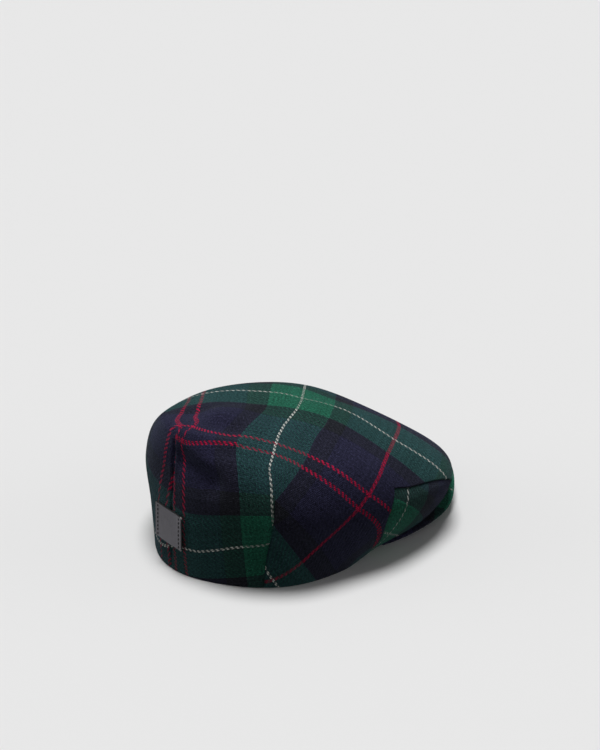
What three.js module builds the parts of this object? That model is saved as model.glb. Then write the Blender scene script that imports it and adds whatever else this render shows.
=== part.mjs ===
// Flat cap in tartan wool: crown, two front-corner gussets, peak and leather patch.
//
// Millimetres, +Z up. The peak points to -Y, the wearer's right is -X, and the cap rests on z = 0.
// The origin is below the middle of the cap's box. Angles go round the crown's axis from the front
// (0) by the wearer's right (90) to the back (180), and "arc" is the length up the cloth from the rim.

import * as THREE from 'three';

// Driving dimensions.
const WALL = 2.5; // cloth and its backing
const GAP = 0.3; // between neighbouring pieces
const APEX_UP = 114; // height of the crown above its axis
const FRONT_LIFT = 22; // the rim's height at the middle of the front
const LIFT_ANGLE = 76; // the rim lies flat from here round the back
const PEAK_OVERHANG = 6; // how far the peak shows past the crown at the front
const PEAK_SHOWS_TO = 52; // the angle where its edge goes back under the crown
const PEAK_END = 56; // the angle of the peak's corners, inside the temples
const PEAK_THICKNESS = 3;
const PEAK_RISE = 7; // how much higher its root lies than its edge, at the middle
const HEAD_HALF_WIDTH = 84; // the head opening, which the peak's root follows
const HEAD_FRONT = 104;
const PATCH_WIDTH = 35;
const PATCH_HEIGHT = 32;
const PATCH_THICKNESS = 1.5;
const PATCH_ARC = 20; // its lower edge, up the cloth from the rim

// Grid densities.
const COLUMN_STEP = 3.75;
const COLUMNS = 360 / COLUMN_STEP;
const LOWER_ROWS = 8; // of the crown, up to just above the gussets
const UPPER_ROWS = 12; // of the crown, from there to the apex
const GUSSET_ROWS = 6;
const PEAK_ROWS = 5;

// The crown's half outline at seven angles. "Out" is the reach from the axis and "Up" the height.
// The rim's height comes from the lift, and the other half of the crown mirrors this one.
const SECTION_COLUMNS = [
  'angle', 'rimOut', 'wallOut', 'wallUp', 'bellyOut', 'bellyUp', 'shoulderOut', 'shoulderUp', 'topOut', 'topUp',
];
const SECTION_ROWS = [
  [0, 172, 170, 28, 157, 41, 127, 63, 66, 97],
  [30, 139, 147, 28, 148, 46, 125, 69, 67, 101],
  [60, 91, 112, 26, 121, 51, 106, 79, 62, 104],
  [90, 88, 97, 28, 103, 58, 91, 90, 53, 108],
  [120, 93, 98, 32, 103, 65, 90, 94, 52, 110],
  [150, 96, 98, 35, 100, 72, 91, 103, 54, 115],
  [180, 101, 100, 37, 97, 78, 92, 112, 56, 121],
];
const SECTION_STEP = 30;

// Soft folds and seam creases: a straight line on the cloth from one angle and arc to another, raised
// (or sunk, where the height is negative) over the given half width.
const FOLDS = [
  { name: 'back seam', fromAngle: 180, fromArc: 0, toAngle: 180, toArc: 112, width: 5, height: -1.2 },
  { name: 'right dart', fromAngle: 131, fromArc: 0, toAngle: 126, toArc: 68, width: 5, height: -1.2 },
  { name: 'left dart', fromAngle: 229, fromArc: 0, toAngle: 234, toArc: 68, width: 5, height: -1.2 },
  { name: 'ridge round the back', fromAngle: 150, fromArc: 124, toAngle: 207, toArc: 119, width: 9, height: 2 },
  { name: 'dip inside the ridge', fromAngle: 158, fromArc: 143, toAngle: 204, toArc: 140, width: 11, height: -2.5 },
  { name: 'hollow by the seam', fromAngle: 171, fromArc: 99, toAngle: 154, toArc: 96, width: 13, height: -2.5 },
];
const FOLD_RADIUS = 95; // turns a fold's angles into lengths across the cloth
const FOLD_START = 12; // folds grow over this arc, so that the rim stays flat

// The front-corner gusset's seam: the arc above the rim at each angle, from the front end over the
// top corner and steeply down to the back end.
const SEAM_ROWS = [
  { angle: 22.5, arc: 0 },
  { angle: 30, arc: 17 },
  { angle: 37.5, arc: 34 },
  { angle: 45, arc: 49.5 },
  { angle: 52.5, arc: 62 },
  { angle: 60, arc: 70 },
  { angle: 67.5, arc: 75 },
  { angle: 71.25, arc: 0 },
];
const GUSSET_FRONT = SEAM_ROWS[0].angle;
const GUSSET_TOP = SEAM_ROWS[SEAM_ROWS.length - 2].angle;
const GUSSET_BACK = SEAM_ROWS[SEAM_ROWS.length - 1].angle;
const LOWER_TOP_ARC = 78; // where the crown's lower rows end, level all round
const GUSSET_INSET = 0.2; // degrees kept clear each side of the seam
const GUSSET_TIP = 3; // degrees trimmed off the pointed front end

const FRONT_REACH = SECTION_ROWS[0][1] + PEAK_OVERHANG;
const BACK_REACH = SECTION_ROWS[SECTION_ROWS.length - 1][1];
const PATCH_REACH = BACK_REACH + GAP + PATCH_THICKNESS;
const AXIS_Y = (FRONT_REACH - PATCH_REACH) / 2;

const radians = THREE.MathUtils.degToRad;

// Rows round the head, mirrored past the back and joined by a Catmull-Rom spline in the angle.
function sectionAt(angle) {
  const last = SECTION_ROWS.length - 1;
  const place = (((angle % 360) + 360) % 360) / SECTION_STEP;
  const start = Math.floor(place);
  const f = place - start;
  const rowAt = (k) => {
    const wrapped = (((start + k) % (2 * last)) + 2 * last) % (2 * last);
    return SECTION_ROWS[wrapped > last ? 2 * last - wrapped : wrapped];
  };
  const [before, from, to, after] = [-1, 0, 1, 2].map(rowAt);
  const section = {};
  SECTION_COLUMNS.forEach((name, c) => {
    const slopeFrom = (to[c] - before[c]) / 2;
    const slopeTo = (after[c] - from[c]) / 2;
    const a = 2 * from[c] - 2 * to[c] + slopeFrom + slopeTo;
    const b = 3 * to[c] - 3 * from[c] - 2 * slopeFrom - slopeTo;
    section[name] = ((a * f + b) * f + slopeFrom) * f + from[c];
  });
  return section;
}

// The rim lies at zero round the back and rises to the middle of the front as half a cosine wave.
function rimUp(angle) {
  const turn = Math.abs(((((angle + 180) % 360) + 360) % 360) - 180);
  return turn < LIFT_ANGLE ? (FRONT_LIFT * (1 + Math.cos((Math.PI * turn) / LIFT_ANGLE))) / 2 : 0;
}

// The outline at one angle, as points evenly measured by arc, from the rim to the apex.
const outlines = new Map();
function outlineAt(angle) {
  const key = angle.toFixed(4);
  if (outlines.has(key)) return outlines.get(key);
  const s = sectionAt(angle);
  const points = [
    [s.rimOut, rimUp(angle)],
    [s.wallOut, s.wallUp],
    [s.bellyOut, s.bellyUp],
    [s.shoulderOut, s.shoulderUp],
    [s.topOut, s.topUp],
    [0, APEX_UP],
    [-s.topOut, s.topUp],
  ].map(([out, up]) => new THREE.Vector3(out, 0, up));
  const curve = new THREE.CatmullRomCurve3(points, false, 'centripetal');
  const stretches = points.length - 1;
  const steps = 16 * (stretches - 1);
  const line = [];
  for (let k = 0; k <= steps; k++) line.push(curve.getPoint(k / (16 * stretches)));
  const arcs = [0];
  for (let k = 1; k <= steps; k++) arcs.push(arcs[k - 1] + line[k].distanceTo(line[k - 1]));
  const outline = { line, arcs, length: arcs[steps] };
  outlines.set(key, outline);
  return outline;
}

// A point of the smooth crown, without folds, at an angle and an arc up the cloth.
function smoothPoint(angle, arc) {
  const { line, arcs, length } = outlineAt(angle);
  const wanted = Math.min(Math.max(arc, 0), length);
  let k = 1;
  while (k < arcs.length - 1 && arcs[k] < wanted) k++;
  const f = (wanted - arcs[k - 1]) / (arcs[k] - arcs[k - 1]);
  const at = new THREE.Vector3().lerpVectors(line[k - 1], line[k], f);
  const turn = radians(angle);
  return new THREE.Vector3(-at.x * Math.sin(turn), AXIS_Y - at.x * Math.cos(turn), at.z);
}

// The outward normal, from points a little up the cloth and a little round it.
function normalAt(angle, arc, pointAt) {
  const { length } = outlineAt(angle);
  const step = 1.5;
  const low = Math.max(arc - step, 0);
  const high = Math.min(arc + step, length - 4);
  if (arc > length - 5) return new THREE.Vector3(0, 0, 1);
  const up = pointAt(angle, high).sub(pointAt(angle, low));
  const round = pointAt(angle + step, arc).sub(pointAt(angle - step, arc));
  return up.cross(round).normalize();
}

// Sum of the folds at a place: each is a bell across its line, which fades out past both ends.
function foldHeight(angle, arc) {
  const millimetresPerDegree = radians(FOLD_RADIUS);
  let total = 0;
  for (const fold of FOLDS) {
    const from = new THREE.Vector2(fold.fromAngle * millimetresPerDegree, fold.fromArc);
    const along = new THREE.Vector2(fold.toAngle * millimetresPerDegree, fold.toArc).sub(from);
    const offset = new THREE.Vector2(angle * millimetresPerDegree, arc).sub(from);
    const f = THREE.MathUtils.clamp(offset.dot(along) / along.lengthSq(), 0, 1);
    const distance = offset.addScaledVector(along, -f).length();
    total += fold.height * Math.exp(-((distance / fold.width) ** 2));
  }
  return total * THREE.MathUtils.smoothstep(arc, 0, FOLD_START);
}

function crownPoint(angle, arc) {
  const turn = ((angle % 360) + 360) % 360;
  const height = foldHeight(turn, arc);
  return smoothPoint(turn, arc).addScaledVector(normalAt(turn, arc, smoothPoint), height);
}

// The same place on the inside of the cloth. At the rim it stays level, so that the rim is flat.
function insidePoint(angle, arc) {
  if (arc > 0) return crownPoint(angle, arc).addScaledVector(normalAt(angle, arc, crownPoint), -WALL);
  const turn = radians(angle);
  const rim = crownPoint(angle, 0);
  return rim.add(new THREE.Vector3(WALL * Math.sin(turn), WALL * Math.cos(turn), 0));
}

// The gusset's seam at an angle on either side: straight between its rows, and on the rim elsewhere.
function seamArc(angle) {
  const turn = Math.abs(((((angle + 180) % 360) + 360) % 360) - 180);
  const end = SEAM_ROWS.findIndex((row) => turn < row.angle);
  if (end < 1) return 0;
  const from = SEAM_ROWS[end - 1];
  const to = SEAM_ROWS[end];
  return from.arc + ((to.arc - from.arc) * (turn - from.angle)) / (to.angle - from.angle);
}

// Closed body between two equal grids of points, outer[row][column] and inner[row][column]. With
// wraps, the columns close on themselves; with an apex pair, the last row closes on two points.
function bodyBetween({ outer, inner, wraps = false, apex = null }) {
  const rows = outer.length;
  const columns = outer[0].length;
  const positions = [];
  const push = (p) => positions.push(p.x, p.y, p.z) / 3 - 1;
  const outerIds = outer.map((row) => row.map(push));
  const innerIds = inner.map((row) => row.map(push));
  const index = [];
  const quad = (a, b, c, d) => index.push(a, b, c, a, c, d);
  const lastColumn = wraps ? columns : columns - 1;
  for (let j = 0; j < lastColumn; j++) {
    const next = (j + 1) % columns;
    for (let i = 0; i < rows - 1; i++) {
      quad(outerIds[i][j], outerIds[i + 1][j], outerIds[i + 1][next], outerIds[i][next]);
      quad(innerIds[i][j], innerIds[i][next], innerIds[i + 1][next], innerIds[i + 1][j]);
    }
    quad(outerIds[0][j], outerIds[0][next], innerIds[0][next], innerIds[0][j]);
    if (!apex) {
      const top = rows - 1;
      quad(outerIds[top][j], innerIds[top][j], innerIds[top][next], outerIds[top][next]);
    }
  }
  if (apex) {
    const [outerApex, innerApex] = apex.map(push);
    for (let j = 0; j < columns; j++) {
      const next = (j + 1) % columns;
      index.push(outerIds[rows - 1][j], outerApex, outerIds[rows - 1][next]);
      index.push(innerIds[rows - 1][j], innerIds[rows - 1][next], innerApex);
    }
  }
  if (!wraps) {
    const end = columns - 1;
    for (let i = 0; i < rows - 1; i++) {
      quad(outerIds[i][0], innerIds[i][0], innerIds[i + 1][0], outerIds[i + 1][0]);
      quad(outerIds[i][end], outerIds[i + 1][end], innerIds[i + 1][end], innerIds[i][end]);
    }
  }
  const geometry = new THREE.BufferGeometry();
  geometry.setAttribute('position', new THREE.Float32BufferAttribute(positions, 3));
  geometry.setIndex(index);
  geometry.computeVertexNormals();
  return geometry;
}

// The crown: one shell from the rim, or from the gusset's seam, up to the apex.
function crownGeometry() {
  const outer = [];
  const inner = [];
  for (let i = 0; i < LOWER_ROWS + UPPER_ROWS; i++) {
    const outerRow = [];
    const innerRow = [];
    for (let j = 0; j < COLUMNS; j++) {
      const angle = j * COLUMN_STEP;
      const lower = THREE.MathUtils.lerp(seamArc(angle), LOWER_TOP_ARC, i / LOWER_ROWS);
      const upper = THREE.MathUtils.lerp(LOWER_TOP_ARC, outlineAt(angle).length, (i - LOWER_ROWS) / UPPER_ROWS);
      const arc = i < LOWER_ROWS ? lower : upper;
      outerRow.push(crownPoint(angle, arc));
      innerRow.push(insidePoint(angle, arc));
    }
    outer.push(outerRow);
    inner.push(innerRow);
  }
  const apex = [new THREE.Vector3(0, AXIS_Y, APEX_UP), new THREE.Vector3(0, AXIS_Y, APEX_UP - WALL)];
  return bodyBetween({ outer, inner, wraps: true, apex });
}

// A gusset: the cloth below the seam, down to the rim. The side is 1 on the wearer's right.
function gussetGeometry(side) {
  const angles = [GUSSET_FRONT + GUSSET_TIP];
  const first = Math.ceil(angles[0] / COLUMN_STEP) * COLUMN_STEP;
  for (let angle = first; angle < GUSSET_TOP - GUSSET_INSET; angle += COLUMN_STEP) angles.push(angle);
  angles.push(GUSSET_TOP - GUSSET_INSET, GUSSET_BACK - 2 * GUSSET_INSET);
  if (side < 0) angles.reverse();
  const height = (angle) => {
    const lower = Math.min(seamArc(angle - GUSSET_INSET), seamArc(angle + GUSSET_INSET));
    return Math.max(lower - GAP, GAP);
  };
  const grid = (pointAt) => {
    const rows = [];
    for (let i = 0; i <= GUSSET_ROWS; i++) {
      rows.push(angles.map((angle) => pointAt(side * angle, (height(angle) * i) / GUSSET_ROWS)));
    }
    return rows;
  };
  return bodyBetween({ outer: grid(crownPoint), inner: grid(insidePoint) });
}

// The peak: an arched plate from the head opening's front out under the crown's rim and past it.
function peakGeometry() {
  const half = Math.ceil(PEAK_END / COLUMN_STEP);
  const angles = [];
  for (let k = -half; k <= half; k++) angles.push((k / half) * PEAK_END);
  const placeAt = (angle, along, below) => {
    const turn = radians(angle);
    const across = HEAD_HALF_WIDTH * Math.cos(turn);
    const ahead = HEAD_FRONT * Math.sin(turn);
    const root = (HEAD_HALF_WIDTH * HEAD_FRONT) / Math.hypot(across, ahead);
    const rim = sectionAt(angle).rimOut;
    const edge = rim + PEAK_OVERHANG * (1 - (angle / PEAK_SHOWS_TO) ** 4);
    const seat = rim - 1.2 * WALL;
    const out = THREE.MathUtils.lerp(root, edge, along);
    const rise = (PEAK_RISE * Math.cos(1.5 * turn) * (seat - out)) / (seat - root);
    const up = rimUp(angle) - GAP + rise - below;
    return new THREE.Vector3(-out * Math.sin(turn), AXIS_Y - out * Math.cos(turn), up);
  };
  const top = [];
  const bottom = [];
  for (let i = 0; i <= PEAK_ROWS; i++) {
    const along = i / PEAK_ROWS;
    const rounding = i === PEAK_ROWS ? PEAK_THICKNESS / 3 : 0;
    top.push(angles.map((angle) => placeAt(angle, along, rounding)));
    bottom.push(angles.map((angle) => placeAt(angle, along, PEAK_THICKNESS - rounding)));
  }
  return bodyBetween({ outer: bottom, inner: top });
}

// The patch: a thin plate bent round the back, just clear of the cloth.
function patchGeometry() {
  const columns = 10;
  const rows = 6;
  const halfAngle = THREE.MathUtils.radToDeg(PATCH_WIDTH / 2 / BACK_REACH);
  const grid = (offset) => {
    const lines = [];
    for (let i = 0; i <= rows; i++) {
      const arc = PATCH_ARC + (PATCH_HEIGHT * i) / rows;
      const line = [];
      for (let j = 0; j <= columns; j++) {
        const angle = 180 + halfAngle * ((2 * j) / columns - 1);
        line.push(smoothPoint(angle, arc).addScaledVector(normalAt(angle, arc, smoothPoint), offset));
      }
      lines.push(line);
    }
    return lines;
  };
  return bodyBetween({ outer: grid(GAP + PATCH_THICKNESS), inner: grid(GAP) });
}

const cloth = { roughness: 0.95, metalness: 0 };
const pieces = [
  { name: 'crown', geometry: crownGeometry(), look: { color: 0x1f3a33, ...cloth } },
  { name: 'gusset_right', geometry: gussetGeometry(1), look: { color: 0x17402c, ...cloth } },
  { name: 'gusset_left', geometry: gussetGeometry(-1), look: { color: 0x17402c, ...cloth } },
  { name: 'peak', geometry: peakGeometry(), look: { color: 0x142b26, ...cloth } },
  { name: 'leather_patch', geometry: patchGeometry(), look: { color: 0x3a3a3e, roughness: 0.6, metalness: 0 } },
];

const flatCap = new THREE.Group();
for (const { name, geometry, look } of pieces) {
  const mesh = new THREE.Mesh(geometry, new THREE.MeshStandardMaterial(look));
  mesh.name = name;
  flatCap.add(mesh);
}

export default flatCap;
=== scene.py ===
"""Flat cap in tartan wool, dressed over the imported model.

The classes hold sizes in millimetres and degrees, and meshes are made in metres. The peak points to
-Y, the wearer's right is -X and the cap rests on z = 0. An angle goes round the crown's axis from the
front (0) by the wearer's right (90) to the back (180) and on by the left. An arc is the length up the
cloth from the rim. A column is an angle before the seams' lean is added, so that each seam runs along
one column of the grids.
"""

import logging
import math
from dataclasses import astuple, dataclass, field
from enum import Enum
from typing import Any, Callable, NamedTuple, Sequence

import bpy
import numpy as np
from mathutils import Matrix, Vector


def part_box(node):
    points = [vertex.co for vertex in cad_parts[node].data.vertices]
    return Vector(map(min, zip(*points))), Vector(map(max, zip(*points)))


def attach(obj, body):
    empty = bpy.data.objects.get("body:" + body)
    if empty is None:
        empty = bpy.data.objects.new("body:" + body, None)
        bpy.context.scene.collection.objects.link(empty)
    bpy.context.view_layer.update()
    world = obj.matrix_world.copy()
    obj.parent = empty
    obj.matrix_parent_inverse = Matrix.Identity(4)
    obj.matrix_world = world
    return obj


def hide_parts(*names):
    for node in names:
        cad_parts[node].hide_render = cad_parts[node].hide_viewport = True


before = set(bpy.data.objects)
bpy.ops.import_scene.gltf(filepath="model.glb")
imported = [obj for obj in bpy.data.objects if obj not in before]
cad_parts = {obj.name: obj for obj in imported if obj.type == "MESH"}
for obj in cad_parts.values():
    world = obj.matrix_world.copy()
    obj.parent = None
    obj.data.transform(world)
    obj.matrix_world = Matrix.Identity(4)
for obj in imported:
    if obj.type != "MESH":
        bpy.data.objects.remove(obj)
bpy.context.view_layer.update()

Array = np.ndarray
Colour = tuple[float, float, float]
Inputs = dict[int | str, Any]
Stops = list[tuple[float, Sequence[float]]]
LOG = logging.getLogger("flat_cap")
MM = 0.001
HALF_TURN = 180.0
FULL_TURN = 360.0
BODY = "root"
CLOTH_MAP = "cloth"
SPREAD_SAMPLES = 4001


# ---------------------------------------------------------------------------------------------
# Curves and grids
# ---------------------------------------------------------------------------------------------


def smooth_step(value: Array, low: float, high: float) -> Array:
    """Eased step from 0 at low to 1 at high: 3t^2 - 2t^3, where t is the share of the way."""
    t = np.clip((value - low) / (high - low), 0.0, 1.0)
    return t * t * (3.0 - 2.0 * t)


def bell(offset: Array, width: float) -> Array:
    """Bell curve, e to the power of minus (offset / width) squared."""
    return np.exp(-((offset / width) ** 2))


def catmull_weights(f: Array) -> list[Array]:
    """Weights of four neighbours in a uniform Catmull-Rom spline.

    Args:
        f: Fraction of the gap between the two middle neighbours.

    Returns:
        The four weights, in order.
    """
    return [
        0.5 * (-f + 2.0 * f**2 - f**3),
        0.5 * (2.0 - 5.0 * f**2 + 3.0 * f**3),
        0.5 * (f + 4.0 * f**2 - 3.0 * f**3),
        0.5 * (f**3 - f**2),
    ]


def rows_curve(value: Array, places: Sequence[float], heights: Sequence[float]) -> Array:
    """Smooth curve through a short table, level past both ends.

    Each stretch is a cubic whose end slopes are those of the chord between the neighbours.

    Args:
        value: Where to read the curve.
        places: The table's places, rising.
        heights: The curve's height at each place.

    Returns:
        The height at each value.
    """
    x, y = np.asarray(places, float), np.asarray(heights, float)
    slopes = np.zeros_like(y)
    slopes[1:-1] = (y[2:] - y[:-2]) / (x[2:] - x[:-2])
    at = np.clip(value, x[0], x[-1])
    k = np.clip(np.searchsorted(x, at, side="right") - 1, 0, len(x) - 2)
    gap = x[k + 1] - x[k]
    f = (at - x[k]) / gap
    rise = y[k + 1] - y[k]
    a = slopes[k] * gap - rise
    b = -slopes[k + 1] * gap + rise
    return y[k] + f * rise + f * (1.0 - f) * (a * (1.0 - f) + b * f)


class Crowd(NamedTuple):
    """Where a grid's lines stand closer together: the centre, the width and the extra density."""

    centre: float
    width: float
    extra: float


def spread(low: float, high: float, count: int, crowds: Sequence[Crowd]) -> Array:
    """Places from low to high that stand closer together in crowds.

    The density is 1 plus a bell for each crowd, and the places cut its running total evenly.

    Args:
        low: First place.
        high: Last place.
        count: How many gaps there are.
        crowds: Where the places stand closer together.

    Returns:
        The count + 1 places.
    """
    fine = np.linspace(low, high, SPREAD_SAMPLES)
    density = 1.0 + sum(extra * bell(fine - centre, width) for centre, width, extra in crowds)
    total = np.concatenate([[0.0], np.cumsum((density[1:] + density[:-1]) / 2.0)])
    return np.interp(np.linspace(0.0, total[-1], count + 1), total, fine)


def cells(first: Array, second: Array | None = None) -> Array:
    """Corners of a grid's cells, in the order that faces outwards where rows go up the cloth.

    Args:
        first: Values at the grid's points, read for a cell's own column.
        second: Values read for the next column, where they differ along a seam.

    Returns:
        One row per cell, with its four corners' values.
    """
    later = first if second is None else second
    corners = [first[:-1, :-1], first[1:, :-1], later[1:, 1:], later[:-1, 1:]]
    return np.stack([c.reshape(-1, *first.shape[2:]) for c in corners], axis=1)


def closed(grid: Array) -> Array:
    """A grid with its first column once more at its end, so that it goes all round."""
    return np.concatenate([grid, grid[:, :1]], axis=1)


def fan(row: Array, tip: int) -> Array:
    """Triangles from each pair of neighbours in a row to one tip."""
    return np.stack([row[:-1], np.full(len(row) - 1, tip), row[1:]], axis=1)


class MeshMaker:
    """Collects points and faces into one mesh, with the cloth coordinates of each face's corners."""

    def __init__(self) -> None:
        """Starts empty."""
        self.points: list[Array] = []
        self.faces: list[Array] = []
        self.corners: list[Array] = []
        self.slots: list[Array] = []
        self.count = 0

    def add_points(self, grid: Array) -> Array:
        """Adds a grid of points in millimetres.

        Args:
            grid: Points, with x, y and z last.

        Returns:
            The points' numbers, in the grid's shape.
        """
        flat = grid.reshape(-1, 3)
        self.points.append(flat)
        self.count += len(flat)
        return np.arange(self.count - len(flat), self.count).reshape(grid.shape[:-1])

    def add_faces(
        self, faces: Array, corners: Array | None = None, slot: int = 0, flip: bool = False
    ) -> None:
        """Adds faces of equal corner count.

        Args:
            faces: Point numbers, one row per face.
            corners: Cloth coordinates in millimetres of each face's corners.
            slot: Index of the faces' material slot.
            flip: Turns the faces over.
        """
        coordinates = np.zeros((*faces.shape, 2)) if corners is None else corners
        step = -1 if flip else 1
        self.faces.append(faces[:, ::step])
        self.corners.append(coordinates[:, ::step])
        self.slots.append(np.full(len(faces), slot))

    def add_plate(self, outer: Array, inner: Array, own: Array, inner_slot: int, flip: bool) -> None:
        """Adds a thin plate: two grids of points that share their border.

        Args:
            outer: Points of the outside, in millimetres.
            inner: Points of the inside.
            own: Cloth coordinates in millimetres of the grid's points.
            inner_slot: Index of the inside's material slot.
            flip: Turns the plate over.
        """
        outer_ids, inner_ids = self.add_points(outer), self.add_points(inner)
        inner_ids[0], inner_ids[-1] = outer_ids[0], outer_ids[-1]
        inner_ids[:, 0], inner_ids[:, -1] = outer_ids[:, 0], outer_ids[:, -1]
        self.add_faces(cells(outer_ids), cells(own), 0, flip=flip)
        self.add_faces(cells(inner_ids), cells(own), inner_slot, flip=not flip)

    def finish(self, name: str, materials: Sequence[bpy.types.Material]) -> bpy.types.Object:
        """Makes the object, with smooth shading, from the points that its faces use.

        Args:
            name: The piece's name.
            materials: Its materials, in slot order.

        Returns:
            The new object.
        """
        mesh = bpy.data.meshes.new(name)
        points = np.concatenate(self.points) * MM
        used = np.zeros(len(points), bool)
        for block in self.faces:
            used[block] = True
        renumbered = np.cumsum(used) - 1
        faces = [face for block in self.faces for face in renumbered[block].tolist()]
        mesh.from_pydata(points[used].tolist(), [], faces)
        layer = mesh.uv_layers.new(name=CLOTH_MAP)
        flat = np.concatenate([block.reshape(-1, 2) for block in self.corners]) * MM
        layer.uv.foreach_set("vector", flat.astype(np.float32).ravel())
        mesh.polygons.foreach_set("use_smooth", np.ones(len(faces), bool))
        mesh.polygons.foreach_set("material_index", np.concatenate(self.slots).astype(np.int32))
        for material in materials:
            mesh.materials.append(material)
        mesh.update()
        made = bpy.data.objects.new(name, mesh)
        bpy.context.scene.collection.objects.link(made)
        return made


def half_thickness(distance: Array, radius: float) -> Array:
    """Half thickness by a round edge: root of radius squared less (radius - distance) squared."""
    inside = radius - np.clip(distance, 0.0, radius)
    return np.sqrt(np.maximum(radius**2 - inside**2, 0.0))


# ---------------------------------------------------------------------------------------------
# The crown's form
# ---------------------------------------------------------------------------------------------


def from_front(column: Array) -> Array:
    """Turn of a column from the front, the same on both sides of the cap."""
    return np.where(column > HALF_TURN, FULL_TURN - column, column)


@dataclass(frozen=True)
class Section:
    """One outline of the crown: the reach from the axis and the height of each point up it."""

    rim_out: float
    wall_out: float
    wall_up: float
    belly_out: float
    belly_up: float
    shoulder_out: float
    shoulder_up: float
    top_out: float
    top_up: float


@dataclass(frozen=True)
class Fold:
    """A soft ridge, or a hollow where the height is negative, along a straight line on the cloth."""

    from_angle: float
    from_arc: float
    to_angle: float
    to_arc: float
    width: float
    height: float


@dataclass(frozen=True)
class Lean:
    """How far a seam leans off its column: degrees of lean at each arc, fading sideways as a bell."""

    column: float
    width: float
    arcs: tuple[float, ...]
    degrees: tuple[float, ...]


@dataclass(frozen=True)
class SewnSeam:
    """A sewn seam's shape: a narrow groove in a shallow valley, with a low welt at either side.

    Each pucker is a sine wave along the seam, with its size, its rate and its phase's share of the
    seam's angle.
    """

    groove_width: float = 1.3
    groove_depth: float = 1.1
    valley_width: float = 6.0
    valley_depth: float = 0.9
    welt_out: float = 3.2
    welt_width: float = 1.8
    welt_height: float = 0.5
    puckers: tuple[tuple[float, float, float], ...] = ((0.35, 0.9, 1.0), (0.25, 0.37, 2.0))
    starts: tuple[float, float] = (-1.0, 5.0)
    fade_below: float = 8.0
    fade_above: float = 4.0

    def depth(self, off: Array, arc: Array, at: float, top: float) -> Array:
        """How deep the cloth is drawn in.

        Args:
            off: Distance from the seam.
            arc: Arcs of the places.
            at: The seam's angle.
            top: The arc where it ends.

        Returns:
            Depths under the smooth surface.
        """
        pucker = 1.0 + sum(size * np.sin(arc * rate + share * at) for size, rate, share in self.puckers)
        groove = self.groove_depth * pucker * bell(off, self.groove_width)
        welt = self.welt_height * bell(off - self.welt_out, self.welt_width) * pucker
        valley = self.valley_depth * bell(off, self.valley_width) - welt
        fade = 1.0 - smooth_step(arc, top - self.fade_below, top + self.fade_above)
        return fade * (groove + valley) * smooth_step(arc, *self.starts)


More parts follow.
